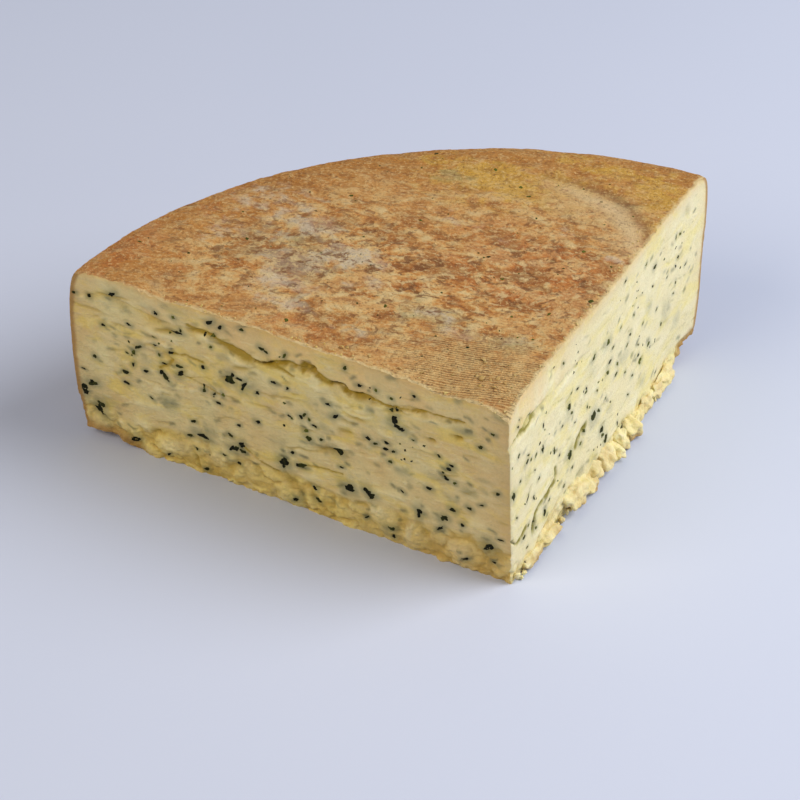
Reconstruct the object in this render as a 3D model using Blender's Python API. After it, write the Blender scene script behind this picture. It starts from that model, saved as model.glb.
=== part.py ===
"""A quarter wheel of semi-hard cheese, cut by hand, as one solid for Blender 4.5.

A cube is cut into a lattice, and each lattice point is moved to its place on the quarter wheel: two cut
faces that meet at the near corner, a bulging rim, an uneven rind, a split in the paste below the rind, and
torn paste along the base. Crumbs at the foot of the right cut are then joined on. The sizes below are in
millimetres, and MM turns them into metres when the mesh is written.

The near corner of the top lies over the sketch's origin. The front cut runs from it towards -X and the
right cut towards +Y. The finished part stands on the plane Z = 0, centred on its own box.
"""

from math import cos, pi, radians, sin

import bmesh
import bpy
import numpy as np
from mathutils import Matrix, Vector, noise

MM = 0.001
NODE_NAME = "cheese"

# The wheel and the two cuts
HEIGHT = 65.2
TOP_RADIUS = 149.0
WHEEL_CENTRE = np.array([2.8, -2.2])
RIGHT_CUT_TURN = radians(1.7)
FRONT_LEAN = 4.0
RIGHT_LEAN = 3.5
FRONT_DIRECTION = np.array([-1.0, 0.0])
RIGHT_DIRECTION = np.array([-sin(RIGHT_CUT_TURN), cos(RIGHT_CUT_TURN)])
RIGHT_OUTWARD = np.array([cos(RIGHT_CUT_TURN), sin(RIGHT_CUT_TURN)])

# The rim's bulge at its left and right ends, and how much further out the right end leans at the top
BULGE_LEFT = 5.3
BULGE_RIGHT = 2.0
RIGHT_FOOT_IN = 2.8
RIGHT_TOP_OUT = 6.8
BELLY_POWERS = (3, 0.6)
SHOULDER_POWER = 6

# The underside is flat, and lifts off the surface along the rim
FOOT_LIFT_LEFT = 2.9
FOOT_LIFT_RIGHT = 5.4
FOOT_LIFT_REACH = (8.0, 19.0)

# The top rind: slow waves, a lower outer band, a soft edge along the rim, and a broken tip at the corner
TOP_WAVE = 0.9
TOP_WAVE_SIZE = 46.0
BAND_WIDTH = 30.0
BAND_DROP = 0.6
RIM_SOFTNESS = 7.0
RIM_DROOP = 1.2
TIP_SIZE = 6.5
TIP_DROP = 3.0
FRONT_EDGE_DIPS = ((21.0, -1.2), (113.0, -1.1), (129.0, 0.9))
EDGE_DIP_WIDTH = 7.0

# The split: its height along each cut, and how far it gapes there, as (distance from the corner, value)
SPLIT_LEVEL = 56.0
FRONT_SPLIT = (
    (0, 54.0), (14, 57.0), (25, 56.3), (42, 54.0), (52, 53.4), (55, 55.0), (64, 56.3), (74, 56.0),
    (80, 53.8), (88, 53.3), (95, 55.8), (103, 57.0), (118, 56.4), (134, 58.2), (154, 56.0),
)
FRONT_GAPE = (
    (0, 0.1), (10, 0.2), (20, 0.8), (60, 0.9), (90, 1.0), (105, 0.5), (118, 0.6), (140, 0.4), (154, 0.0),
)
RIGHT_SPLIT = ((0, 54.0), (7, 53.4), (13, 54.1), (20, 53.4), (34, 52.0), (50, 51.6), (90, 53.5), (154, 56.0))
RIGHT_GAPE = ((0, 0.4), (4, 0.7), (20, 0.9), (30, 0.4), (50, 0.3), (62, 0.0), (154, 0.0))
SPLIT_DEPTH = 1.7
SPLIT_WIDTH = 0.7
SLAB_SET_BACK = 0.5
SLAB_EDGE = (-0.4, 0.6)
LEDGE_PROUD = 0.6
LEDGE_DROP = 2.4
LEDGE_FADE = 9.0

# The torn paste along the base: how high it reaches on each cut, and how rough it is
FRONT_TEAR_HEIGHT = 13.5
RIGHT_TEAR_HEIGHT = 8.0
TEAR_WAVE = 4.0
TEAR_WAVE_SIZE = 24.0
TEAR_LUMP_SIZE = 9.0
TEAR_ROUGHNESS = 1.2
TEAR_EDGE = (-2.5, 1.0)
CREASE_STEEPNESS = 1.6
FOOT_TUCK = 0.3
FOOT_TUCK_HEIGHT = 3.0

# The cuts are a little wavy. The right one bows out at mid-length and in at its far foot, each given as
# (distance from the corner, width, how far it stands out), and it twists at the corner.
CUT_WAVE = 0.35
CUT_WAVE_SIZE = 22.0
RIGHT_BOW = (75.0, 20.0, 0.9)
RIGHT_FOOT_BAY = (122.0, 18.0, -2.0)
CORNER_TWIST = (1.2, -0.3, 20.0)
RELIEF_REACH = 8.0

# Crumbs at the foot of the right cut: distance from the corner, width, depth and height
CRUMBS = (
    (13.0, 12.0, 4.4, 3.8),
    (25.0, 14.0, 5.4, 4.6),
    (45.5, 14.0, 7.0, 7.4),
    (53.0, 8.5, 8.0, 4.8),
    (59.0, 9.0, 6.6, 6.4),
    (66.5, 9.0, 8.4, 7.0),
    (72.5, 7.5, 9.0, 5.0),
    (79.0, 8.0, 7.0, 6.6),
    (85.5, 9.5, 8.8, 6.6),
    (93.0, 9.0, 3.6, 5.0),
    (101.0, 9.0, 4.2, 5.4),
    (110.5, 8.0, 3.4, 4.6),
    (118.0, 11.0, 4.0, 5.6),
)
CRUMB_CLEARANCE = 0.4
CRUMB_ROUGHNESS = 0.45
CRUMB_SPREAD = 0.35

# The lattice: cells along the front and right cuts, and the heights of its level rows
CELLS_FRONT = 40
CELLS_RIGHT = 38
ROW_HEIGHTS = (
    2.2, 4.8, 7.6, 10.8, 14.6, 19.5, 25.5, 31.5, 37.5, 43.0, 48.0,
    SPLIT_LEVEL - LEDGE_DROP, SPLIT_LEVEL - 0.9, SPLIT_LEVEL, SPLIT_LEVEL + 0.8, 59.8, 63.0, 64.6,
)

PASTE_COLOUR = (0.72, 0.62, 0.36, 1.0)
PASTE_ROUGHNESS = 0.55


def smooth_step(low, high, x):
    t = np.clip((x - low) / (high - low), 0.0, 1.0)
    return t * t * (3.0 - 2.0 * t)


def along(course, distance):
    """The value of a course of (distance, value) pairs at the given distances."""
    distances, values = zip(*course)
    return np.interp(distance, distances, values)


def soft_noise(x, y, size, layer):
    """Smooth noise from about -1 to 1 on a plane, with features of about the given size."""
    return np.array([noise.noise(Vector((i / size, j / size, layer))) for i, j in zip(x, y)])


def lumps(x, y, size, layer):
    """Rounded lumps with creases between them, from 0 in a crease to about 1 on a crown."""
    gaps = [noise.voronoi(Vector((i / size, j / size, layer)))[0] for i, j in zip(x, y)]
    return np.array([min(1.0, CREASE_STEEPNESS * (second - first)) for first, second, *_ in gaps])


def rim_radius(z, share):
    """The rim's radius at height z, where share runs from 0 at the left end to 1 at the right end."""
    u = 2.0 * z / HEIGHT - 1.0
    power, root = BELLY_POWERS
    belly = np.maximum(1.0 - np.abs(u) ** power, 0.0) ** root
    shoulder = np.sqrt(np.maximum(1.0 - np.maximum(u, 0.0) ** SHOULDER_POWER, 0.0))
    lean = (RIGHT_FOOT_IN + RIGHT_TOP_OUT) * z / HEIGHT - RIGHT_FOOT_IN
    blend = smooth_step(0.0, 1.0, share)
    right = BULGE_RIGHT * belly + lean * shoulder
    return TOP_RADIUS + (1.0 - blend) * BULGE_LEFT * belly + blend * right


def corner_at(z):
    """The near corner of the two cuts at height z."""
    rise = 1.0 - z / HEIGHT
    return np.stack([RIGHT_LEAN * rise, FRONT_LEAN * rise], axis=-1)


def cut_end(z, direction, share):
    """Where a cut meets the rim: the point at the rim's radius along direction from the corner."""
    corner = corner_at(z)
    from_centre = corner - WHEEL_CENTRE
    along_cut = from_centre @ direction
    radius = rim_radius(z, share)
    off_centre = (from_centre**2).sum(axis=-1) - radius**2
    reach = np.sqrt(along_cut**2 - off_centre) - along_cut
    return corner + reach[..., None] * direction


def angle_of(points):
    offset = points - WHEEL_CENTRE
    return np.arctan2(offset[..., 1], offset[..., 0]) % (2.0 * pi)


def rim_point(z, share):
    """The point on the rim at height z, share of the way from the left end to the right end."""
    left = angle_of(cut_end(z, FRONT_DIRECTION, 0.0 * z))
    right = angle_of(cut_end(z, RIGHT_DIRECTION, 0.0 * z + 1.0))
    angle = left + (right - left) * share
    outward = np.stack([np.cos(angle), np.sin(angle)], axis=-1)
    return WHEEL_CENTRE + rim_radius(z, share)[..., None] * outward


def plan(a, b, z):
    """A point of the quarter disc at height z. a runs along the front cut and b along the right cut."""
    middle_share = CELLS_RIGHT / (CELLS_FRONT + CELLS_RIGHT)
    corner = corner_at(z)
    left = cut_end(z, FRONT_DIRECTION, 0.0 * z)
    right = cut_end(z, RIGHT_DIRECTION, 0.0 * z + 1.0)
    middle = rim_point(z, 0.0 * z + middle_share)
    on_left_rim = rim_point(z, b * middle_share)
    on_right_rim = rim_point(z, 1.0 - a * (1.0 - middle_share))
    a, b = a[..., None], b[..., None]
    on_front = corner + (left - corner) * a
    on_right = corner + (right - corner) * b
    sides = (1.0 - b) * on_front + b * on_right_rim + (1.0 - a) * on_right + a * on_left_rim
    corners = (1.0 - a) * (1.0 - b) * corner + a * (1.0 - b) * left + (1.0 - a) * b * right + a * b * middle
    return sides - corners


def polar(points):
    """Distance from the wheel's centre, and the share of the way round from the left to the right end."""
    radius = np.hypot(*(points - WHEEL_CENTRE).T)
    share = np.clip((pi - angle_of(points)) / (pi / 2.0), 0.0, 1.0)
    return radius, share


def top_height(points):
    """The height of the top rind over a point of the plan."""
    x, y = points.T
    radius, _ = polar(points)
    inward = TOP_RADIUS - radius
    height = HEIGHT + TOP_WAVE * soft_noise(x, y, TOP_WAVE_SIZE, 3.0)
    height -= BAND_DROP * (1.0 - smooth_step(BAND_WIDTH - 5.0, BAND_WIDTH + 1.0, inward))
    height -= RIM_DROOP * np.clip(1.0 - inward / RIM_SOFTNESS, 0.0, 1.0) ** 2
    height -= TIP_DROP * np.clip(1.0 - (y - x) / TIP_SIZE, 0.0, 1.0)
    near_front = np.exp(-np.maximum(y, 0.0) / EDGE_DIP_WIDTH)
    for distance, dip in FRONT_EDGE_DIPS:
        height += dip * near_front * np.exp(-(((-x - distance) / EDGE_DIP_WIDTH) ** 2))
    return height


def foot_height(points):
    """The height of the underside over a point of the plan."""
    radius, share = polar(points)
    lift = FOOT_LIFT_LEFT + (FOOT_LIFT_RIGHT - FOOT_LIFT_LEFT) * share
    inward = TOP_RADIUS - radius
    return lift * (1.0 - smooth_step(*FOOT_LIFT_REACH, inward))


def split_profile(above, gape):
    """How far the paste stands out near the split, by the height above it."""
    slab = -SLAB_SET_BACK * smooth_step(*SLAB_EDGE, above) * np.exp(-np.maximum(above, 0.0) / LEDGE_FADE)
    ledge = LEDGE_PROUD * smooth_step(0.0, LEDGE_DROP, -above) * np.exp(np.minimum(above, 0.0) / LEDGE_FADE)
    groove = -SPLIT_DEPTH * np.exp(-((above / SPLIT_WIDTH) ** 2))
    return gape * (slab + ledge + groove)


def torn_paste(distance, z, tear_height, layer):
    """The lumpy surface of the torn paste along the base, tucked under at the very foot."""
    edge = tear_height + TEAR_WAVE * soft_noise(distance, 0.0 * z, TEAR_WAVE_SIZE, layer)
    below, above = TEAR_EDGE
    torn = 1.0 - smooth_step(edge + below, edge + above, z)
    relief = TEAR_ROUGHNESS * (lumps(distance, z, TEAR_LUMP_SIZE, layer) - 0.5)
    tuck = FOOT_TUCK * np.clip(1.0 - z / FOOT_TUCK_HEIGHT, 0.0, 1.0)
    return torn * (relief - tuck)


def hump(distance, entry):
    """A smooth swelling along a cut, from its (distance, width, height)."""
    middle, width, height = entry
    return height * np.exp(-(((distance - middle) / width) ** 2))


def front_relief(distance, z, above):
    """How far the front cut stands out of its plane."""
    wave = CUT_WAVE * soft_noise(distance, z, CUT_WAVE_SIZE, 11.0)
    split = split_profile(above, along(FRONT_GAPE, distance))
    return wave + split + torn_paste(distance, z, FRONT_TEAR_HEIGHT, 5.0)


def right_relief(distance, z, above):
    """How far the right cut stands out of its plane."""
    wave = CUT_WAVE * soft_noise(distance, z, CUT_WAVE_SIZE, 17.0)
    wave += hump(distance, RIGHT_BOW) * smooth_step(0.5, 1.0, z / HEIGHT)
    wave += hump(distance, RIGHT_FOOT_BAY) * smooth_step(0.5, 0.0, z / HEIGHT)
    top, foot, fade = CORNER_TWIST
    wave += (foot + (top - foot) * z / HEIGHT) * np.exp(-distance / fade)
    split = split_profile(above, along(RIGHT_GAPE, distance))
    return wave + split + torn_paste(distance, z, RIGHT_TEAR_HEIGHT, 9.0)


def place(a, b, level):
    """Moves lattice points to the cheese. a and b are shares along the cuts, and level is a height."""
    points = plan(a, b, level)
    foot, top = foot_height(points), top_height(points)
    z = foot + level / HEIGHT * (top - foot)
    points = plan(a, b, np.clip(z, 0.0, HEIGHT))
    offset = points - corner_at(z)
    from_corner_front = -offset[:, 0]
    from_corner_right = offset @ RIGHT_DIRECTION
    on_front = np.clip(1.0 - offset[:, 1] / RELIEF_REACH, 0.0, 1.0)
    on_right = np.clip(1.0 + offset @ RIGHT_OUTWARD / RELIEF_REACH, 0.0, 1.0)
    below = np.clip(level / SPLIT_LEVEL, 0.0, 1.0)
    over = np.clip((HEIGHT - level) / (HEIGHT - SPLIT_LEVEL), 0.0, 1.0)
    front_shift = on_front * (along(FRONT_SPLIT, from_corner_front) - SPLIT_LEVEL)
    right_shift = on_right * (along(RIGHT_SPLIT, from_corner_right) - SPLIT_LEVEL)
    shift = np.where(on_right > on_front, right_shift, front_shift)
    above = level - SPLIT_LEVEL
    z = z + shift * below * over
    front = on_front**2 * front_relief(from_corner_front, z, above)
    right = on_right**2 * right_relief(from_corner_right, z, above)
    points = points + front[:, None] * np.array([0.0, -1.0]) + right[:, None] * RIGHT_OUTWARD
    return np.column_stack([points, z])


def lattice_cube():
    """A unit cube cut by planes along its three axes, so that its faces carry the lattice."""
    bm = bmesh.new()
    bmesh.ops.create_cube(bm, size=1.0, matrix=Matrix.Translation((0.5, 0.5, 0.5)))
    cuts = (
        (Vector((1, 0, 0)), [i / CELLS_FRONT for i in range(1, CELLS_FRONT)]),
        (Vector((0, 1, 0)), [i / CELLS_RIGHT for i in range(1, CELLS_RIGHT)]),
        (Vector((0, 0, 1)), [row / HEIGHT for row in ROW_HEIGHTS]),
    )
    for axis, positions in cuts:
        for position in positions:
            everything = bm.verts[:] + bm.edges[:] + bm.faces[:]
            bmesh.ops.bisect_plane(bm, geom=everything, dist=1e-6, plane_co=axis * position, plane_no=axis)
    return bm


def merge_flat_foot(bm):
    """Makes the resting face one flat face."""
    flat = [f for f in bm.faces if all(abs(v.co.z) < 1e-7 for v in f.verts)]
    bmesh.ops.dissolve_faces(bm, faces=flat)


def make_body(collection):
    """The quarter wheel without its crumbs."""
    bm = lattice_cube()
    shares = np.array([v.co[:] for v in bm.verts])
    points = place(shares[:, 0], shares[:, 1], shares[:, 2] * HEIGHT)
    for vert, point in zip(bm.verts, points * MM):
        vert.co = point
    merge_flat_foot(bm)
    bmesh.ops.recalc_face_normals(bm, faces=bm.faces[:])
    mesh = bpy.data.meshes.new(NODE_NAME)
    bm.to_mesh(mesh)
    bm.free()
    body = bpy.data.objects.new(NODE_NAME, mesh)
    collection.objects.link(body)
    return body


def make_crumb(index, collection):
    """One crumb: a craggy lump half sunk in the foot of the right cut, spreading towards its own foot."""
    distance, width, depth, height = CRUMBS[index]
    bm = bmesh.new()
    bmesh.ops.create_icosphere(bm, subdivisions=2, radius=0.5)
    for vert in bm.verts:
        vert.co *= 1.0 + CRUMB_ROUGHNESS * noise.noise(vert.co * 3.4 + Vector((0, 0, 7.0 * index)))
        vert.co.x -= CRUMB_SPREAD * vert.co.z
    lowest = min(vert.co.z for vert in bm.verts)
    foot = corner_at(np.array([height / 2.0]))[0] + distance * RIGHT_DIRECTION
    turn = Matrix.Rotation(RIGHT_CUT_TURN, 4, "Z")
    size = Matrix.Diagonal((depth, width, height, 1.0))
    spot = Matrix.Translation(Vector((foot[0], foot[1], CRUMB_CLEARANCE - lowest * height)))
    bm.transform(Matrix.Scale(MM, 4) @ spot @ turn @ size)
    mesh = bpy.data.meshes.new(f"crumb_{index}")
    bm.to_mesh(mesh)
    bm.free()
    collection.objects.link(bpy.data.objects.new(f"crumb_{index}", mesh))


def join_crumbs(body, crumbs):
    """Joins the crumbs to the body by one Boolean union, and removes them."""
    union = body.modifiers.new("crumbs", "BOOLEAN")
    union.operation = "UNION"
    union.operand_type = "COLLECTION"
    union.collection = crumbs
    union.solver = "EXACT"
    evaluated = body.evaluated_get(bpy.context.evaluated_depsgraph_get())
    joined = bpy.data.meshes.new_from_object(evaluated)
    body.modifiers.clear()
    body.data = joined
    joined.name = NODE_NAME
    for crumb in list(crumbs.objects):
        bpy.data.objects.remove(crumb)
    bpy.data.collections.remove(crumbs)


def centre_over_origin(body):
    """Moves the mesh so that the middle of its box lies over the origin. It stands on Z = 0 already."""
    corners = np.array([v.co[:] for v in body.data.vertices])
    middle = (corners.min(axis=0) + corners.max(axis=0)) / 2.0
    body.data.transform(Matrix.Translation((-middle[0], -middle[1], 0.0)))


def paste_material():
    material = bpy.data.materials.new("cheese_paste")
    material.use_nodes = True
    shader = material.node_tree.nodes["Principled BSDF"]
    shader.inputs["Base Color"].default_value = PASTE_COLOUR
    shader.inputs["Roughness"].default_value = PASTE_ROUGHNESS
    shader.inputs["Metallic"].default_value = 0.0
    return material


def new_collection(name):
    collection = bpy.data.collections.new(name)
    bpy.context.scene.collection.children.link(collection)
    return collection


def main():
    for old in list(bpy.data.objects):
        bpy.data.objects.remove(old)
    cheese = new_collection("cheese_quarter")
    crumbs = new_collection("crumbs")
    body = make_body(cheese)
    for index in range(len(CRUMBS)):
        make_crumb(index, crumbs)
    join_crumbs(body, crumbs)
    centre_over_origin(body)
    body.data.materials.clear()
    body.data.materials.append(paste_material())
    body.data.shade_smooth()
    body.data.set_sharp_from_angle(angle=radians(35.0))


main()
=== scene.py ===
"""The looks of a quarter wheel of cheese with leaf flecks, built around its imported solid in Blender 4.5.

The solid's own shape functions are followed on a much finer lattice, and finer relief is added: slits and
pits in the cut paste, torn lumps along the base, a crumbly cut edge and the cloth's imprint in the rind.
Leaf flecks, foot crumbs and loose scraps are pieces of their own. Shapes are worked out in millimetres in
the sketch's frame, where the near top corner lies over the origin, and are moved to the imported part's place
when they are written.
"""

from math import cos, pi, radians, sin
from types import SimpleNamespace

import bmesh
import bpy
import numpy as np
from mathutils import Matrix, Vector, geometry, noise
from mathutils.bvhtree import BVHTree


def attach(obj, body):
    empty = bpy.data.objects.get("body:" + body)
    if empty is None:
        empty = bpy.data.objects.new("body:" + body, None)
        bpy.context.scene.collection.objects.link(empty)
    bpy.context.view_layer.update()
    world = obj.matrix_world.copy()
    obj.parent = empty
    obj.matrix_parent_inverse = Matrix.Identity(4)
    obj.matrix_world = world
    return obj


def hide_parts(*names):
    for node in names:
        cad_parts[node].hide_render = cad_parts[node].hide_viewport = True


MM = 0.001
NODE_NAME = "cheese"

# The photograph's camera
CAMERA_PLACE = (0.3462, -0.6581, 0.5373)
CAMERA_HEADING = radians(-27.9)
CAMERA_PITCH = radians(36.1)
CAMERA_ROLL = radians(1.58)
CAMERA_LENS = 126.0
CAMERA_SENSOR = 36.0

# From the sketch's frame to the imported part's, in millimetres
SKETCH_SHIFT = np.array([72.599, -76.599, 0.0])

# The wheel and the two cuts, as in the solid
HEIGHT = 65.2
TOP_RADIUS = 149.0
WHEEL_CENTRE = np.array([2.8, -2.2])
RIGHT_CUT_TURN = radians(1.7)
FRONT_LEAN = 4.0
RIGHT_LEAN = 3.5
FRONT_DIRECTION = np.array([-1.0, 0.0])
FRONT_OUTWARD = np.array([0.0, -1.0])
RIGHT_DIRECTION = np.array([-sin(RIGHT_CUT_TURN), cos(RIGHT_CUT_TURN)])
RIGHT_OUTWARD = np.array([cos(RIGHT_CUT_TURN), sin(RIGHT_CUT_TURN)])
BULGE_LEFT = 5.3
BULGE_RIGHT = 2.0
RIGHT_FOOT_IN = 2.8
RIGHT_TOP_OUT = 6.8
BELLY_POWERS = (3, 0.6)
SHOULDER_POWER = 6
FOOT_LIFT_LEFT = 2.9
FOOT_LIFT_RIGHT = 5.4
FOOT_LIFT_REACH = (8.0, 19.0)
TOP_WAVE = 0.9
TOP_WAVE_SIZE = 46.0
BAND_WIDTH = 30.0
BAND_DROP = 0.6
BAND_EDGE = (-5.0, 1.0)
RIM_SOFTNESS = 7.0
RIM_DROOP = 1.2
TIP_SIZE = 6.5
TIP_DROP = 3.0
FRONT_EDGE_DIPS = ((21.0, -1.2), (113.0, -1.1), (129.0, 0.9))
EDGE_DIP_WIDTH = 7.0
MIDDLE_SHARE = 38 / 78

# The split below the rind and the torn paste along the base, as in the solid
SPLIT_LEVEL = 56.0
FRONT_SPLIT = (
    (0, 54.0), (14, 57.0), (25, 56.3), (42, 54.0), (52, 53.4), (55, 55.0), (64, 56.3), (74, 56.0),
    (80, 53.8), (88, 53.3), (95, 55.8), (103, 57.0), (118, 56.4), (134, 58.2), (154, 56.0),
)
FRONT_GAPE = (
    (0, 0.1), (10, 0.2), (20, 0.8), (60, 0.9), (90, 1.0), (105, 0.5), (118, 0.6), (140, 0.4), (154, 0.0),
)
RIGHT_SPLIT = ((0, 54.0), (7, 53.4), (13, 54.1), (20, 53.4), (34, 52.0), (50, 51.6), (90, 53.5), (154, 56.0))
RIGHT_GAPE = ((0, 0.4), (4, 0.7), (20, 0.9), (30, 0.4), (50, 0.3), (62, 0.0), (154, 0.0))
SPLIT_DEPTH = 1.2
SPLIT_WIDTH = 0.55
SLAB_SET_BACK = 0.5
SLAB_EDGE = (-0.4, 0.6)
LEDGE_PROUD = 0.6
LEDGE_DROP = 2.4
LEDGE_FADE = 9.0
FRONT_TEAR_HEIGHT = 13.5
RIGHT_TEAR_HEIGHT = 8.0
TEAR_WAVE = 4.0
TEAR_WAVE_SIZE = 24.0
TEAR_LUMP_SIZE = 9.0
TEAR_ROUGHNESS = 0.95
TEAR_WARP = 2.6
TEAR_EDGE = (-2.5, 1.0)
CREASE_STEEPNESS = 1.6
FOOT_TUCK = 0.3
FOOT_TUCK_HEIGHT = 3.0
CUT_WAVE = 0.35
CUT_WAVE_SIZE = 22.0
RIGHT_BOW = (75.0, 20.0, 0.9)
RIGHT_FOOT_BAY = (122.0, 18.0, -2.0)
CORNER_TWIST = (1.2, -0.3, 20.0)
RELIEF_REACH = 8.0

# Crumbs at the foot of the right cut, as in the solid: distance from the corner, width, depth and height
CRUMBS = (
    (13.0, 12.0, 4.4, 3.8), (25.0, 14.0, 5.4, 4.6), (45.5, 14.0, 7.0, 7.4), (53.0, 8.5, 8.0, 4.8),
    (59.0, 9.0, 6.6, 6.4), (66.5, 9.0, 8.4, 7.0), (72.5, 7.5, 9.0, 5.0), (79.0, 8.0, 7.0, 6.6),
    (85.5, 9.5, 8.8, 6.6), (93.0, 9.0, 3.6, 5.0), (101.0, 9.0, 4.2, 5.4), (110.5, 8.0, 3.4, 4.6),
    (118.0, 11.0, 4.0, 5.6),
)
CRUMB_CLEARANCE = 0.4
CRUMB_ROUGHNESS = 0.45
CRUMB_SPREAD = 0.35
CRUMB_SUBDIVISIONS = 5
CRUMB_LUMPS = 3.4
CRUMB_NOISE_STEP = 7.0
CRUMB_GRAIN = 3.6
CRUMB_FINE_GRAIN = 0.8
CRUMB_RELIEF = 0.32
CRUMB_FINE_SHARE = 0.3
CRUMB_CREASE = 0.6
LOWEST_CRUMB, LOWEST_SMALL_CRUMB = 0.05, 0.02
SMALL_CRUMBS = 110
SMALL_CRUMB_SIZE = (0.7, 2.2)
SMALL_CRUMB_PLACE = (1.0, 124.0)
SMALL_CRUMB_OUT = (-0.8, 0.5)
SMALL_CRUMB_OUT_BY_SIZE = 0.22
SMALL_CRUMB_RISE = (0.5, 1.4)
SMALL_CRUMB_STRETCH = (0.6, 1.3)
SMALL_CRUMB_ROUGHNESS, SMALL_CRUMB_LUMPS = 0.7, 3.0

# Loose crumbs of paste along the top edges of the cuts, and scraps of rind at the near corner: (x, y, size)
EDGE_CRUMBS = 150
EDGE_CRUMB_SIZE = (0.35, 0.9)
SCRAPS = (
    (-14.0, 11.0, 2.4), (-16.5, 13.0, 1.9), (-10.0, 15.0, 2.0), (-11.5, 13.2, 1.4), (-19.0, 21.0, 1.8),
    (-17.4, 19.4, 1.2), (-55.0, 6.2, 1.8), (-57.5, 5.0, 1.1), (-47.0, 4.6, 1.1), (-12.8, 8.0, 1.5),
    (-8.0, 9.5, 1.2), (-6.4, 12.4, 1.1), (-22.0, 10.0, 1.1), (-30.0, 6.0, 1.0), (-36.0, 3.8, 1.2),
)
SCRAP_CURL = 1.9

# The fine lattice: its usual step, and the smaller one near the edges and the split
COARSE_STEP = 0.52
FINE_STEP = 0.26
LEVEL_STEP = 0.44
GRADING_REACH = 5.0
CUT_LENGTH = 150.0
FINE_REACH = 3.0

# Marks in the front cut: (distance from the corner, height, length, width, tilt in degrees, strength)
FRONT_SLITS = (
    (135, 58.6, 11, 0.9, 5, 0.7), (145, 51.2, 11, 1.0, -4, 0.7), (134, 48.6, 4, 0.9, 0, 0.6),
    (116.5, 52.4, 7, 1.5, 18, 1.0), (105, 57.0, 5, 1.3, 12, 0.9), (76, 42.6, 13, 0.7, 10, 0.7),
    (50.5, 44.5, 6, 1.2, 3, 0.8), (53, 42.0, 4, 0.9, 8, 0.6), (36, 52.2, 10, 0.8, 14, 0.5),
    (90, 48.2, 6, 1.3, 22, 0.9), (25.5, 46.2, 4, 1.0, -6, 0.6), (16.5, 50.6, 4, 1.3, 4, 0.8),
    (20, 34.8, 5, 0.7, 28, 0.6), (105.5, 38.6, 13, 0.35, 16, 0.35), (70, 24.6, 13, 0.7, 14, 0.7),
    (68, 33.0, 6, 0.8, 6, 0.5), (28, 40.4, 8, 0.6, 5, 0.4), (84, 36.5, 7, 0.6, 10, 0.6),
    (123, 44.6, 5, 0.8, 12, 0.6), (12, 44.8, 5, 0.6, 8, 0.4), (98, 26.5, 6, 0.7, 16, 0.4),
)
FRONT_PITS = (
    (61, 28.2, 10.0, 2.4, 16, 1.0), (54.5, 37.4, 5.5, 2.4, 8, 0.8),
    (15.8, 50.2, 2.2, 1.6, 0, 0.9), (24.8, 45.9, 2.2, 1.7, 0, 0.8),
    (96, 42.0, 5.0, 1.6, 20, 0.8), (116.0, 42.6, 5.5, 1.5, -25, 0.7), (44, 52.6, 3.0, 1.2, 0, 0.6),
    (111.0, 4.5, 2.0, 8.0, 10, 0.8), (124.0, 11.0, 3.0, 2.4, 0, 0.6), (76.0, 10.5, 4.0, 4.4, 0, 0.9),
    (81.5, 4.0, 3.0, 3.0, 0, 0.6), (97.0, 7.0, 6.0, 2.2, 20, 0.6), (52.0, 11.0, 5.0, 2.0, 20, 0.7),
    (88.0, 9.0, 3.0, 4.0, 0, 0.5), (29.0, 9.0, 3.0, 5.0, -20, 0.6),
)
FRONT_FLAPS = (
    (99.5, 56.2, 9, 2.6, 12, 0.9), (118, 50.6, 12, 2.2, 6, 0.8), (120, 46.6, 9, 1.8, 4, 0.6),
    (34.6, 8.6, 2.4, 9.5, -14, 1.0), (11.0, 19.6, 6.0, 4.2, 12, 0.8), (57, 30.8, 7, 1.2, 14, 0.8),
    (88, 50.8, 9, 1.8, 14, 0.7), (48, 46.4, 8, 1.6, 6, 0.6), (55, 40.3, 4, 1.2, 6, 0.6),
    (37, 44.2, 6, 1.0, 12, 0.5), (70, 52.6, 14, 2.0, 4, 0.5), (26, 53.2, 12, 1.6, 2, 0.5),
    (61, 51.4, 5, 2.4, 30, 0.5), (42, 19.5, 14, 3.0, 8, 0.8), (127, 20.5, 12, 3.0, 6, 0.6),
    (130, 12.0, 7, 5.0, 0, 0.7), (118, 7.0, 9, 5.0, 0, 0.8), (104, 8.0, 8, 6.0, 0, 0.7),
    (70, 14.5, 6, 3.0, 20, 0.7), (46, 11.0, 7, 5.0, 10, 0.6), (18, 8.0, 9, 5.0, 0, 0.6),
)

# Where the paste under the slab lies open and olive, and where a piece of the slab has broken out
FRONT_SMEARS = (
    (91.5, 54.2, 15, 3.2, -17, 1.0), (98.5, 56.8, 6, 1.2, -10, 0.7), (63.0, 56.4, 5, 1.8, -25, 0.9),
)
FRONT_NOTCHES = ((66.0, 57.9, 5.4, 2.3, 3, 1.0),)

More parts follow.
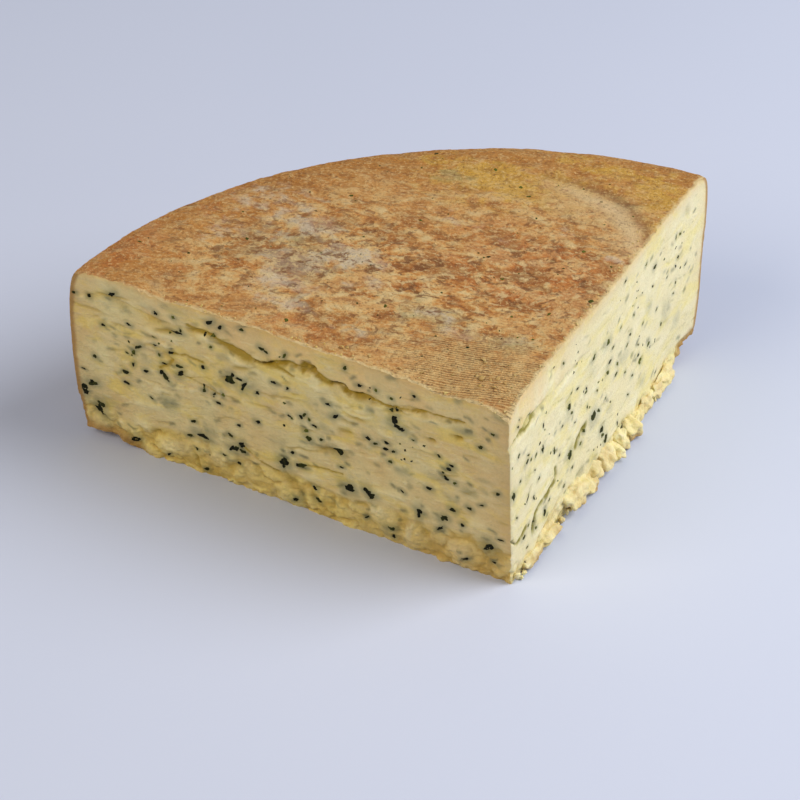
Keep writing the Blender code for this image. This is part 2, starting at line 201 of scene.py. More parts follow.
# Thin lines in the front cut: (course of (distance, height) points, width, strength)
FRONT_DARK_LINES = (
    (((84.6, 52.8), (82.0, 53.0), (79.0, 54.0)), 0.42, 1.0),
    (((58.4, 54.4), (56.4, 55.2), (54.4, 55.3), (53.2, 54.4)), 0.42, 1.0),
    (((50.5, 53.8), (48.2, 54.3), (46.4, 54.4), (44.2, 53.9)), 0.3, 0.8),
    (((38.0, 53.9), (36.6, 53.0), (34.6, 53.4)), 0.3, 0.6),
    (((101.5, 57.2), (99.6, 57.4)), 0.3, 0.5),
)
FRONT_OLIVE_LINES = (
    (((79.0, 54.2), (77.1, 55.6), (74.7, 56.0), (72.8, 56.7), (70.4, 56.2)), 0.45, 0.9),
    (((78.8, 54.0), (74.6, 53.6), (71.1, 52.8)), 0.5, 0.8),
    (((68.0, 56.8), (64.0, 56.8), (61.7, 55.2), (58.4, 54.5)), 0.75, 1.0),
    (
        ((53.4, 53.4), (48.2, 54.0), (44.2, 53.7), (38.0, 53.7), (32.0, 54.6), (26.0, 56.0), (14.0, 56.6)),
        0.35, 0.8,
    ),
    (((108.5, 57.6), (104.0, 57.2), (99.0, 57.4), (95.0, 55.6)), 0.5, 0.8),
    (((93.0, 17.8), (86.0, 13.5), (80.5, 12.0)), 0.3, 0.7),
    (((112.8, 38.0), (105.0, 36.5), (99.0, 35.0)), 0.22, 0.5),
    (((72.1, 18.0), (64.0, 20.0), (57.0, 20.5)), 0.28, 0.6),
    (((115.3, 44.7), (110.0, 45.8), (104.0, 45.2)), 0.4, 0.7),
    (((119.9, 37.6), (117.0, 39.5), (115.4, 41.6)), 0.5, 0.8),
)

# Marks and lines in the right cut, in the same forms
RIGHT_SLITS = (
    (40, 27.5, 7, 0.7, -12, 0.4), (28, 47.5, 12, 0.8, 4, 0.3), (52, 52.0, 12, 0.8, 4, 0.4),
    (72, 54.2, 16, 0.7, 2, 0.3), (66, 40.0, 8, 0.7, -10, 0.3), (96, 22.8, 7, 1.2, -14, 0.5),
    (12, 27.6, 6, 0.6, -8, 0.4), (136, 58.6, 5, 3.4, 70, 0.8), (82, 14.0, 9, 0.9, -14, 0.4),
)
RIGHT_PITS = (
    (9.0, 57.2, 3.0, 1.2, 50, 0.4), (31.0, 60.6, 5.0, 1.5, 12, 0.6), (48.5, 8.8, 4.0, 3.0, 0, 0.5),
    (15.2, 12.6, 2.4, 3.0, 0, 1.0), (52.5, 22.4, 3.0, 2.4, 30, 0.6), (97.0, 22.6, 3.4, 2.0, 0, 0.6),
)
RIGHT_FLAPS = (
    (12, 51.6, 22, 1.8, 2, 0.8), (38, 50.2, 24, 1.6, -3, 0.7), (24, 20.6, 12, 1.6, -22, 0.6),
    (46, 29.0, 12, 1.8, -30, 0.6), (18, 8.0, 10, 2.4, 10, 0.6), (30, 57.0, 26, 2.0, 2, 0.5),
    (70, 10.0, 12, 2.6, 8, 0.7), (90, 10.0, 10, 2.4, 6, 0.6), (62, 58.0, 18, 1.8, 4, 0.4),
)
RIGHT_SMEARS = ()
RIGHT_NOTCHES = ()
RIGHT_DARK_LINES = (
    (((0.6, 17.2), (2.4, 14.6), (4.2, 14.1)), 0.3, 0.9),
    (((14.9, 12.6), (15.3, 14.6)), 0.6, 0.7),
    (((53.4, 24.9), (51.0, 24.6), (48.2, 22.8)), 0.6, 0.7),
)
RIGHT_OLIVE_LINES = (
    (((4.2, 14.1), (7.6, 15.3), (9.7, 16.2)), 0.7, 0.9),
    (((15.0, 11.0), (15.2, 13.0), (16.4, 16.6), (19.3, 17.8), (25.4, 17.6), (28.0, 18.8)), 0.75, 1.0),
    (((28.0, 18.8), (31.0, 19.0), (32.4, 20.4), (32.2, 23.4)), 0.7, 0.9),
    (((46.8, 21.8), (48.4, 23.6), (51.1, 24.6), (54.4, 25.2)), 0.9, 1.0),
    (((3.0, 52.8), (5.1, 53.3), (9.0, 53.0), (14.3, 53.3), (18.3, 54.2)), 0.35, 0.6),
    (((29.7, 1.5), (40.0, 4.0), (52.0, 6.4)), 0.5, 0.4),
)

# Small smears and nicks, scattered over both cuts: the ranges of their distance, height, length, width,
# tilt and strength
SMEAR_COUNT = 240
SMEAR_SEED = 20
SMEAR_RANGES = (
    (2.0, CUT_LENGTH - 4.0), (3.0, HEIGHT - 4.0), (1.0, 5.0), (0.35, 0.9), (-6.0, 26.0), (0.3, 1.0),
)

# Leaves that show as a blur through the paste: (distance, height, length, width, tilt, strength)
FRONT_BURIED = (
    (45.5, 49.7, 3.6, 3.0, 0, 1.0), (96.5, 50.2, 5.0, 3.4, 10, 0.8), (104.5, 18.5, 5.0, 4.0, 0, 0.9),
    (118.5, 24.3, 7.0, 4.6, 0, 1.0), (134.0, 29.5, 6.0, 3.6, 0, 0.4), (14, 53.2, 6.0, 3.0, 0, 0.8),
    (14, 30.6, 6.0, 3.6, 0, 0.7), (88, 42.0, 9.0, 4.0, 20, 0.7), (131, 55.0, 5.0, 3.0, 30, 0.5),
    (24, 32.0, 7.0, 3.0, 0, 0.5), (36, 30.5, 6.0, 3.6, 0, 0.7), (97, 60.4, 8.0, 3.2, 0, 0.5),
    (90, 39.5, 6.0, 3.0, 0, 0.6), (79, 24.5, 6.0, 3.4, 0, 0.4), (62, 35.8, 5.0, 3.2, 0, 0.5),
    (142, 15.5, 8.0, 5.0, 0, 0.6), (148, 22.0, 6.0, 5.0, 0, 0.5), (113, 62.0, 9.0, 3.0, 0, 0.4),
    (41, 3.6, 6.0, 3.0, 0, 0.7), (20, 26.0, 6.0, 3.4, 0, 0.5), (9, 37.0, 6.0, 2.4, 0, 0.4),
    (122, 59.5, 7.0, 3.0, 0, 0.4), (48, 34.5, 5.0, 3.0, 0, 0.4), (125, 38.0, 5.0, 3.0, 0, 0.4),
)
RIGHT_BURIED = (
    (50.5, 9.3, 6.0, 4.0, 0, 0.8), (62, 22.0, 6.0, 4.6, 0, 0.6), (84, 33.0, 8.0, 5.0, 0, 0.5),
    (118, 30.0, 7.0, 9.0, 0, 0.6), (104, 40.0, 6.0, 6.0, 0, 0.4), (72, 20.0, 6.0, 4.0, 0, 0.4),
    (12, 34.0, 5.0, 4.0, 0, 0.4), (42, 36.0, 7.0, 4.0, 0, 0.4), (128, 20.0, 6.0, 6.0, 0, 0.4),
    (60, 42.0, 8.0, 4.0, 0, 0.3), (98, 14.0, 7.0, 4.0, 0, 0.5), (26, 33.0, 6.0, 4.0, 0, 0.3),
)

# Bits of leaf that lie just under the cut, scattered too, with the ranges in the same order
GHOST_SEED = 8
GHOST_RANGES = (
    (4.0, CUT_LENGTH - 4.0), (2.0, HEIGHT - 4.0), (1.4, 3.6), (0.9, 1.8), (-40.0, 40.0), (0.35, 0.95),
)

# Leaf flecks: (distance from the corner, height), by size. Widths are in millimetres.
SMALL_FLECK = 1.7
MIDDLE_FLECK = 2.5
LARGE_FLECK = 3.5
FLECK_SEED = 7
FLECK_LENGTH = (0.85, 1.3)
FLECK_WIDTH = (0.5, 0.9)
FLECK_TILT = (-30, 50)
SLIVER_PALEST = 0.5
HALO_SPREAD = 2.2
HALO_LEAST_LENGTH = 0.7 * SMALL_FLECK
FRONT_LARGE_FLECKS = (
    (55.2, 16), (7.7, 12.3), (78, 16.8), (151, 17.3), (107.5, 15.8), (36, 46.7), (58.5, 28.8),
    (147.5, 21.3), (145.5, 13.8), (95, 42.8),
)
FRONT_MIDDLE_FLECKS = (
    (117, 65), (15.3, 64.7), (2, 63.7), (113, 40.5), (112.8, 37.8), (146.7, 10.8), (133.8, 4), (96.5, 15),
    (47, 16.3), (22, 17.8), (19.5, 21.8), (24, 13), (99.5, 62), (93, 15.3), (37.3, 49.7), (30.5, 16.8),
    (49, 17.8), (15.7, 4.5), (57.8, 42.3), (93, 17.8), (41, 5.8), (135.3, 59.5), (68, 29.8), (127.5, 42.5),
)
FRONT_SMALL_FLECKS = (
    (143.8, 56), (149.5, 55.5), (119.5, 58), (96, 61.3), (82, 58.5), (88.5, 63), (37.5, 64.7), (78.5, 47.4),
    (96, 41.5), (90, 41.8), (115.5, 44.8), (118.5, 39.7), (120, 35.8), (125.7, 34), (145, 32.5),
    (133.8, 30.7),
    (134, 26.3), (125, 23.8), (150, 26), (112.2, 13.8), (110, 20.3), (96.7, 20), (93, 25.3), (100, 31.3),
    (101, 34.3), (74.5, 21.8), (73, 17.6), (57, 23.3), (63.5, 31.3), (65.5, 35.6), (47, 38.3), (41, 36.3),
    (38.5, 36.5), (36.3, 22.3), (16.3, 17.3), (3.5, 16.8), (6.3, 6.5), (40.5, 2.8), (49.7, 6.3), (67.5, 10.8),
    (67, 5.8), (75, 3.3), (100, 11), (95, 9.3), (108, 2), (121, 3.3), (9.5, 27.6), (4, 34), (21, 33.3),
    (19, 38.8), (4.5, 56), (30, 60.3), (36.4, 53.2), (38.0, 52.4), (85, 41.0), (104, 43.4), (60, 46.0),
    (27, 27.0), (70, 37.5), (13.5, 24.6), (86, 29.4), (140, 46.5), (130, 50.0), (23, 41.0), (9.0, 49.5),
)
RIGHT_LARGE_FLECKS = (
    (59.5, 24.8), (60.5, 4.8), (81, 5.8), (100, 2.3), (2.3, 33.5), (42, 22.3), (71.2, 46.3),
)
RIGHT_MIDDLE_FLECKS = (
    (11.5, 40), (23, 36.8), (61, 46.8), (109, 52.3), (71, 35), (77.5, 30), (86.5, 35.8), (68.5, 10.3),
    (65.5, 15.8), (97.5, 22.3), (50.5, 20.5), (15.7, 13.5), (66.8, 13.0), (44.6, 36.4), (104, 25.3),
    (8, 13.3), (88.8, 38.5), (64.0, 24.5), (72.6, 37.8), (78.6, 33.4), (53.6, 23.4), (17.0, 10.8),
)
RIGHT_SMALL_FLECKS = (
    (14.5, 39), (18, 38), (7, 35.8), (17.2, 33), (29, 31.3), (31.5, 30.5), (42.3, 40.3), (44.5, 44),
    (102, 57.3), (119, 42.3), (134, 38.8), (15.7, 23.8), (10.5, 7.8), (87, 15.8), (90.5, 21.3), (110, 35.3),
    (111.5, 8.8), (32.5, 61.3), (39.5, 58.3), (6.5, 56.5), (14.5, 55.8), (8, 57.8), (84, 61.8), (12.5, 42.0),
    (21.0, 40.5), (25.0, 43.0), (20.0, 28.0), (35.0, 26.6), (37.5, 36.0), (46.5, 31.5), (49.0, 42.6),
    (55.0, 37.5), (57.5, 30.0), (63.0, 33.0), (69.0, 26.0), (75.0, 42.0), (81.0, 46.0), (92.0, 44.0),
    (95.0, 30.5), (99.0, 36.5), (107.0, 46.0), (114.0, 27.0), (117.0, 50.5), (124.0, 33.0), (128.0, 45.0),
    (4.0, 24.0), (6.0, 46.0), (27.0, 14.5), (33.5, 17.5), (38.0, 12.5), (44.0, 15.5), (73.0, 22.0),
    (85.0, 26.0),
)
# Long bits of leaf: (distance, height, length, width, tilt in degrees)
FRONT_SLIVERS = (
    (77.7, 17.0, 4.4, 1.7, 78), (89.6, 41.8, 4.0, 1.3, 66), (91.0, 43.9, 3.0, 1.1, 0),
    (94.4, 42.0, 3.4, 1.9, -12), (93.6, 44.4, 2.0, 1.4, 60), (150.9, 17.4, 2.4, 4.6, 0),
    (146.2, 10.6, 4.6, 2.2, -40), (147.3, 21.2, 3.8, 2.2, 20), (133.8, 4.0, 3.6, 1.6, 8),
    (118.6, 34.4, 3.6, 1.6, -50), (112.4, 53.6, 4.0, 1.3, 5), (87.8, 64.8, 3.2, 0.7, 30),
    (21.6, 64.9, 3.6, 0.6, 0), (74.8, 3.4, 3.4, 1.6, 30), (95.2, 15.2, 3.0, 2.0, 60),
    (71.6, 17.9, 3.0, 1.7, 10), (37.2, 48.6, 2.0, 3.2, 0), (31.0, 16.0, 1.6, 3.6, 0),
    (48.0, 17.0, 2.4, 3.2, 30), (22.8, 17.2, 3.0, 2.0, 40),
)
RIGHT_SLIVERS = (
    (2.4, 33.2, 1.6, 4.0, 0), (31.6, 30.4, 1.4, 4.2, 0), (23.4, 36.8, 1.2, 4.0, 0),
    (60.2, 24.6, 4.0, 4.6, 0), (60.0, 5.0, 3.4, 6.0, 0), (82.0, 5.6, 4.6, 3.6, 0),
    (100.6, 2.6, 4.0, 4.0, 0), (42.6, 39.8, 2.4, 3.8, 0), (16.0, 23.0, 2.0, 1.0, 40),
    (11.6, 26.2, 3.0, 0.9, -50), (68.6, 10.2, 2.6, 3.6, 0), (8.4, 13.4, 2.4, 1.6, 0),
    (23.6, 12.2, 2.2, 3.2, 0), (66.0, 15.4, 3.0, 3.0, 0), (42.4, 21.8, 3.0, 4.6, 0),
    (15.2, 12.0, 2.4, 2.8, 0),
)
TOP_FLECKS = (
    (-101, 66), (-96, 80), (-4, 64), (-18, 88), (-21, 45), (-86, 118), (-139, 23), (-64, 118), (-52, 112),
    (-47, 108), (-33, 62), (-70, 78), (-112, 42), (-56, 30), (-12, 52), (-25, 24), (-78, 9), (-42, 70),
)
CLUSTER_FLECKS = (2, 7)
CLUSTER_SPREAD = 3.0
CLUSTER_DISTANCE = (4, CUT_LENGTH - 8)
CLUSTER_HEIGHT = (3, HEIGHT - 5)
SCATTERED_SIZE = (0.45, 1.3)
SCATTERED_LENGTH = (1.0, 1.9)
SCATTERED_TONE = (0.1, 1.0)
FLECK_LOWEST, FLECK_HIGHEST = 1.5, HEIGHT - 0.2
FLECK_NEAREST, FLECK_FARTHEST = 1.0, CUT_LENGTH + 3.0
TOP_FLECK_SIZE = 1.5
TOP_FLECK_TONE = (0.35, 0.9)
SCATTERED_TOP_FLECKS = 90
SCATTERED_TOP_RANGES = ((2, 140), (3, 130), (0.4, 0.9))

# The rind's blotches: (x, y, width along x, width along y, strength)
WHITE_BLOOM = (
    (-96, 58, 18, 12, 1.0), (-80, 48, 20, 13, 1.0), (-93, 38, 20, 12, 1.0), (-90, 27, 22, 11, 0.9),
    (-84, 18, 24, 9, 0.8), (-104, 49, 14, 10, 0.7), (-68, 36, 15, 10, 0.5), (-30, 29, 10, 8, 0.8),
    (-41, 34, 14, 9, 0.7), (-58, 15, 30, 8, 0.45), (-14, 34, 14, 9, 0.4), (-60, 84, 18, 8, 0.5),
    (-44, 80, 14, 7, 0.5), (-28, 96, 30, 8, 0.4), (-6, 88, 12, 8, 0.5), (-36, 20, 16, 7, 0.4),
    (-112, 64, 32, 26, 0.6), (-122, 44, 16, 22, 0.5),
)
GREEN_BLOOM = (
    (-41, 33, 20, 13, 1.0), (-15, 31, 18, 12, 0.9), (-50, 18, 34, 10, 0.5), (-22, 21, 18, 10, 0.6),
    (-94, 46, 40, 34, 0.7), (-75, 108, 12, 8, 0.9), (-30, 66, 10, 8, 0.6), (-82, 22, 26, 12, 0.5),
    (-100, 72, 22, 14, 0.3), (-84, 92, 20, 10, 0.3), (-20, 120, 10, 9, 0.8), (-6, 70, 8, 12, 0.5),
)
RED_BLOTCHES = (
    (-30, 76, 52, 30, 0.9), (-50, 62, 28, 18, 0.7), (-12, 72, 22, 30, 1.0), (-26, 58, 34, 16, 0.9),
    (-46, 88, 26, 14, 0.6), (-8, 52, 16, 16, 0.8), (-62, 46, 22, 16, 0.4), (-70, 8, 30, 9, 0.7),
    (-105, 30, 22, 12, 0.4), (-50, 48, 26, 12, 0.5), (-90, 66, 26, 12, 0.3), (-118, 18, 24, 14, 0.4),
    (-142, 18, 14, 40, 1.0), (-130, 60, 14, 40, 0.6),
)
GOLD_BLOTCHES = (
    (-60, 112, 42, 20, 1.0), (-36, 122, 30, 14, 0.7), (-78, 100, 20, 12, 0.4), (-12, 132, 20, 24, 0.7),
    (-34, 136, 40, 12, 0.6), (-4, 116, 10, 26, 0.6), (-60, 96, 40, 10, 0.4), (-24, 108, 30, 14, 0.4),
)
PALE_BLOTCHES = (
    (-24, 111, 36, 20, 1.0), (-10, 98, 16, 18, 0.8), (-112, 66, 30, 26, 0.5), (-92, 96, 26, 16, 0.5),
    (-64, 92, 24, 12, 0.4), (-118, 44, 18, 24, 0.4),
)

# Where the rind is flaky
FLAKY_AREAS = (
    (-60, 45, 110, 60, 1.0), (-25, 65, 60, 60, 1.0), (-105, 35, 50, 40, 0.8), (-30, 20, 60, 20, 0.5),
)

# How far along the cuts the lower rind starts to show at their foot
FOOT_RIND_FROM = (120.0, 136.0)

# The ring pressed into the rind at the back right
RING_CENTRE = (-38.0, 84.0)
RING_RADIUS = 40.0
RING_ARC = (radians(18.0), radians(100.0))

# The cloth's imprint at the near corner, and the direction in which the rind's own patches are drawn out
WEAVE_PITCH = 1.05
WEAVE_HEADING = radians(15.0)
WEAVE_CENTRE = (-16.0, 13.0)
WEAVE_REACH = 26.0
WEAVE_DEPTH = 0.42
RIND_GRAIN = radians(22.0)

# The size of quick noise's table, and how many radians the wave texture turns for one unit at scale 1
NOISE_TABLE = 128
WAVE_TEXTURE_RATE = 20.0

# Layers of noise over a cut: (stretch along the cut, size, step of the side's seed, octaves)
CUT_NOISE = {
    "warp along": (1.0, 6.0, 0, 2), "warp up": (1.0, 4.0, 10, 2),
    "near along": (1.0, 2.0, 12, 3), "near up": (1.0, 2.0, 14, 3),
    "torn patches": (1.0, 16.0, 25, 2), "crags": (1.0, 5.0, 30, 4), "rough patches": (1.0, 15.0, 40, 2),
    "pressed": (0.4, 1.5, 50, 3), "flaky": (0.55, 3.2, 55, 3), "grainy": (1.0, 0.9, 60, 2),
    "torn grain": (1.0, 1.1, 70, 3), "torn flakes": (0.7, 2.8, 72, 3), "ledge": (0.5, 2.4, 75, 3),
    "top edge": (1.0, 1.6, 80, 2), "buried": (1.0, 2.0, 90, 2), "rag": (1.0, 4.0, 95, 3),
    "fine rag": (1.0, 1.3, 0, 2), "gape": (1.0, 6.0, 98, 3), "wet": (1.0, 3.0, 97, 3),
    "uneven": (1.0, 1.3, 99, 2),
}
WARP_ALONG, WARP_UP, NEAR_WARP, HALO_WARP = 1.3, 0.7, 0.5, 0.3

# How far each form of a cut stands out, in millimetres
CUT_RELIEF = {
    "slit": -0.5, "pit": -1.0, "nick": -0.2, "smear": 0.16, "smeared": -0.3, "notch": -1.1,
    "olive_line": -0.45, "dark_line": -1.1, "crease": -0.2, "uneven_ledge": 0.35,
}
ROUGH_RELIEF = {"pressed": 0.15, "grainy": 0.07, "flake": 0.26, "flap": 0.7}
TORN_RELIEF = {"crag": 1.2, "torn_flakes": 0.45, "torn_grain": 0.35}
TORN_SINK = 0.45
CRAG_LIMIT = 0.4
TOP_EDGE_RELIEF = (0.4, 0.3)
TOP_EDGE_REACH = 0.5
WORN_CORNER = 9.0
WORN_FOOT_ALONG, WORN_FOOT_UP = (60.0, 10.0), (26.0, 4.0)
DRY_EDGE = 1.6
CORNER_WEAR = 0.35
CORNER_WEAR_REACH = 0.5

# The split's ragged edge, and the bands that lie along it
RAG = (0.9, 0.5)
RAG_REACH = 3.0
GAPE_SHARE = (0.6, 1.0)
GROOVE_WIDTH = 0.6
LEDGE_RISE = (-8.0, -4.5)
LEDGE_END = (-1.4, -0.3)
SLAB_START = (-0.2, 0.8)
WET_LEVEL = -0.7
WET_REACH = 1.5

# Layers of noise in the rind: (stretch across, size, seed, octaves)
RIND_NOISE = {
    "weave": (1.0, 9.0, 510, 3), "ring": (1.0, 6.0, 530, 2), "warp across": (1.0, 9.0, 540, 3),
    "warp back": (1.0, 8.0, 550, 3), "speckle": (0.8, 2.6, 560, 3), "fine": (1.0, 0.9, 570, 2),
    "island warp": (1.0, 3.0, 575, 2), "islands": (1.0, 6.5, 580, 4), "edge": (1.0, 2.4, 590, 3),
    "band": (1.0, 12.0, 600, 2), "waves": (1.0, 4.5, 610, 3), "top edge": (1.0, 1.7, 620, 2),
}
WEAVE_SHAPE = (1.25, 0.8)
WEAVE_FADE = (0.4, 1.05)
RING_FADES = (0.2, 0.3)
ISLAND_STRETCH = 0.7
ISLAND_WARP = 1.5
CALM_SHARE = 0.2
FLAKE_FROM = (-0.02, 0.14)
HOLLOW_UP_TO = (-0.3, -0.12)
PALE_EDGE = (0.2, 1.6)
PALE_EDGE_ENDS = (-115.0, -138.0)
BLOTCH_SPECKLE = 0.55
BAND_FADE = (2.0, 30.0)
RING_WIDTH = 2.2
ARC_PLACE, ARC_WIDTH = 5.0, 3.5
RIND_EDGE_RELIEF = (0.3, 0.45)
RIND_EDGE_REACH = 0.6

# The masks that the two kinds of surface carry: mostly their own colours, but the crease, crack and hollow
# masks are painted shade, and pale and torn are partly painted highlight
PASTE_LABELS = ("olive", "crack_shade", "pale", "buried", "ghost", "crease", "torn", "dry", "slab")
RIND_LABELS = (
    "bloom", "green", "red", "gold", "pale", "band", "ring", "arc", "edge", "flake", "hollow", "flaky",
    "weave",
)

# How the rind's stains lie on the rim, in clouds: (stain, layer of noise, strength)
RIM_STAINS = (
    ("bloom", 650, 0.3), ("green", 656, 0.4), ("red", 662, 0.6), ("gold", 668, 0.4), ("pale", 674, 0.6),
    ("flake", 680, 0.8), ("hollow", 686, 0.6),
)
RIM_CLOUD_STRETCH, RIM_CLOUD_SIZE, RIM_CLOUD_OCTAVES = 0.6, 13.0, 5
RIM_CLOUD_FROM = (0.02, 0.3)
RIM_RELIEF = 0.3
RIM_GRAIN = 0.14

# A fleck's rings: (share of its size, rise over the surface)
FLECK_RINGS = ((0.0, 0.09), (0.6, 0.08), (0.93, 0.04), (1.0, -0.12))
FLECK_SIDES = 11
FLECK_UNEVENNESS = 0.55
FLECK_SMOOTHING = 0.25
FLECK_TONE_CHANGE = 0.1

# Loose pieces: the reach of a cast in metres, the scraps' parts and where the edge crumbs lie
DOWN = (0.0, 0.0, -1.0)
UP = np.array([0.0, 0.0, 1.0])
CAST_REACH = 0.03
SCRAP_STEPS, SCRAP_ACROSS = 9, 4
SCRAP_START = (0.2, 1.4)
SCRAP_LENGTH, SCRAP_WIDTH, SCRAP_HALF_THICKNESS = 2.2, 0.3, 0.09
SCRAP_RAGGEDNESS, SCRAP_TAPER = 0.5, 0.4
EDGE_CRUMB_PLACE = (1.0, 120.0)
EDGE_CRUMB_BACK, EDGE_CRUMB_SPREAD = 0.3, 1.2
EDGE_CRUMBS_IN_FRONT = 0.6
FOOT_LINES = 46

# The two lamps: (name, place in metres, size, power, colour)
LAMPS = (
    ("window", (0.9, 0.42, 0.92), 1.1, 17.5, (1.0, 0.99, 0.96)),
    ("room", (-0.45, -1.0, 0.95), 0.9, 8.5, (1.0, 0.87, 0.66)),
)
SKY = (0.78, 0.84, 0.96, 1.0)
SKY_STRENGTH = 0.26
FLOOR_SIZE = 4.0

# The rind's blotches by stain: (blotches, threshold, softness of their edge)
RIND_BLOTCHES = {
    "bloom": (WHITE_BLOOM, 0.34, 0.5), "green": (GREEN_BLOOM, 0.3, 0.6), "red": (RED_BLOTCHES, 0.3, 0.6),
    "gold": (GOLD_BLOTCHES, 0.2, 0.6), "pale": (PALE_BLOTCHES, 0.3, 0.6),
}


def smooth_step(low, high, x):
    t = np.clip((x - low) / (high - low), 0.0, 1.0)
    return t * t * (3.0 - 2.0 * t)


def along(course, distance):
    """The value of a course of (distance, value) pairs at the given distances."""
    distances, values = zip(*course)
    return np.interp(distance, distances, values)


def soft_noise(x, y, size, layer):
    """Smooth noise from about -1 to 1 on a plane, with features of about the given size."""
    return np.array([noise.noise(Vector((i / size, j / size, layer))) for i, j in zip(x, y)])


def lumps(x, y, size, layer):
    """Rounded lumps with creases between them, from 0 in a crease to about 1 on a crown."""
    gaps = [noise.voronoi(Vector((i / size, j / size, layer)))[0] for i, j in zip(x, y)]
    return np.array([min(1.0, CREASE_STEEPNESS * (second - first)) for first, second, *_ in gaps])


def quick_noise(x, y, size, seed):
    """Smooth noise from -1 to 1 between the corners of a table of random numbers."""
    table = np.random.default_rng(seed).uniform(-1.0, 1.0, (NOISE_TABLE, NOISE_TABLE))
    column, row = np.floor(x / size).astype(int), np.floor(y / size).astype(int)
    u, v = x / size - column, y / size - row
    u, v = u * u * (3.0 - 2.0 * u), v * v * (3.0 - 2.0 * v)

    def corner(right, up):
        return table[(column + right) % NOISE_TABLE, (row + up) % NOISE_TABLE]

    low = corner(0, 0) * (1.0 - u) + corner(1, 0) * u
    high = corner(0, 1) * (1.0 - u) + corner(1, 1) * u
    return low * (1.0 - v) + high * v


def fractal(x, y, size, seed, octaves=3):
    """Several layers of quick noise, each half the size of the one before and turned against it."""
    total, weight, strength = 0.0, 0.0, 1.0
    for octave in range(octaves):
        total = total + strength * quick_noise(x, y, size, seed + octave)
        weight += strength
        strength *= 0.6
        x, y = (0.8 * x - 0.6 * y) * 2.03 + 17.0, (0.6 * x + 0.8 * y) * 2.03 + 5.0
    return total / weight


def layer_of(layers, name, u, v, seed=0):
    """One of the named layers of noise."""
    stretch, size, layer, octaves = layers[name]
    return fractal(u * stretch, v, size, seed + layer, octaves)


def marks(u, v, entries):
    """How strongly each point lies in one of the marks, from 0 to 1."""
    total = np.zeros_like(u)
    for place_u, place_v, length, width, tilt, strength in entries:
        du, dv = u - place_u, v - place_v
        turn = radians(tilt)
        across = (dv * cos(turn) + du * sin(turn)) / (width / 2.0)
        down = (du * cos(turn) - dv * sin(turn)) / (length / 2.0)
        total = np.maximum(total, strength * np.exp(-(across**2) - down**4))
    return total


def lines(u, v, entries):
    """How strongly each point lies on one of the thin lines, from 0 to 1."""
    total = np.zeros_like(u)
    for course, width, strength in entries:
        for (start_u, start_v), (end_u, end_v) in zip(course, course[1:]):
            run_u, run_v = end_u - start_u, end_v - start_v
            share = ((u - start_u) * run_u + (v - start_v) * run_v) / (run_u**2 + run_v**2)
            share = np.clip(share, 0.0, 1.0)
            gap = np.hypot(u - start_u - share * run_u, v - start_v - share * run_v)
            total = np.maximum(total, strength * np.exp(-((gap / width) ** 2)))
    return total


def blobs(x, y, entries):
    """How strongly each point lies in one of the soft round blotches, from 0 to 1."""
    total = np.zeros_like(x)
    for place_x, place_y, width, depth, strength in entries:
        shape = np.exp(-(((x - place_x) / (0.6 * width)) ** 2) - ((y - place_y) / (0.6 * depth)) ** 2)
        total = np.maximum(total, strength * shape)
    return total


# The solid's shape


def rim_radius(z, share):
    """The rim's radius at height z, where share runs from 0 at the left end to 1 at the right end."""
    u = 2.0 * z / HEIGHT - 1.0
    power, root = BELLY_POWERS
    belly = np.maximum(1.0 - np.abs(u) ** power, 0.0) ** root
    shoulder = np.sqrt(np.maximum(1.0 - np.maximum(u, 0.0) ** SHOULDER_POWER, 0.0))
    lean = (RIGHT_FOOT_IN + RIGHT_TOP_OUT) * z / HEIGHT - RIGHT_FOOT_IN
    blend = smooth_step(0.0, 1.0, share)
    right = BULGE_RIGHT * belly + lean * shoulder
    return TOP_RADIUS + (1.0 - blend) * BULGE_LEFT * belly + blend * right


def corner_at(z):
    """The near corner of the two cuts at height z."""
    rise = 1.0 - z / HEIGHT
    return np.stack([RIGHT_LEAN * rise, FRONT_LEAN * rise], axis=-1)


def cut_end(z, direction, share):
    """Where a cut meets the rim: the point at the rim's radius along direction from the corner."""
    corner = corner_at(z)
    from_centre = corner - WHEEL_CENTRE
    along_cut = from_centre @ direction
    radius = rim_radius(z, share)
    off_centre = (from_centre**2).sum(axis=-1) - radius**2
    reach = np.sqrt(along_cut**2 - off_centre) - along_cut
    return corner + reach[..., None] * direction


def angle_of(points):
    """The direction of points from the wheel's centre, from 0 to a whole turn."""
    offset = points - WHEEL_CENTRE
    return np.arctan2(offset[..., 1], offset[..., 0]) % (2.0 * pi)


def rim_point(z, share):
    """The point on the rim at height z, share of the way from the left end to the right end."""
    left = angle_of(cut_end(z, FRONT_DIRECTION, 0.0 * z))
    right = angle_of(cut_end(z, RIGHT_DIRECTION, 0.0 * z + 1.0))
    angle = left + (right - left) * share
    outward = np.stack([np.cos(angle), np.sin(angle)], axis=-1)
    return WHEEL_CENTRE + rim_radius(z, share)[..., None] * outward


def plan(a, b, z):
    """A point of the quarter disc at height z. a runs along the front cut and b along the right cut."""
    corner = corner_at(z)
    left = cut_end(z, FRONT_DIRECTION, 0.0 * z)
    right = cut_end(z, RIGHT_DIRECTION, 0.0 * z + 1.0)
    middle = rim_point(z, 0.0 * z + MIDDLE_SHARE)
    on_left_rim = rim_point(z, b * MIDDLE_SHARE)
    on_right_rim = rim_point(z, 1.0 - a * (1.0 - MIDDLE_SHARE))
    a, b = a[..., None], b[..., None]
    on_front = corner + (left - corner) * a
    on_right = corner + (right - corner) * b
    sides = (1.0 - b) * on_front + b * on_right_rim + (1.0 - a) * on_right + a * on_left_rim
    corners = (1.0 - a) * (1.0 - b) * corner + a * (1.0 - b) * left + (1.0 - a) * b * right + a * b * middle
    return sides - corners


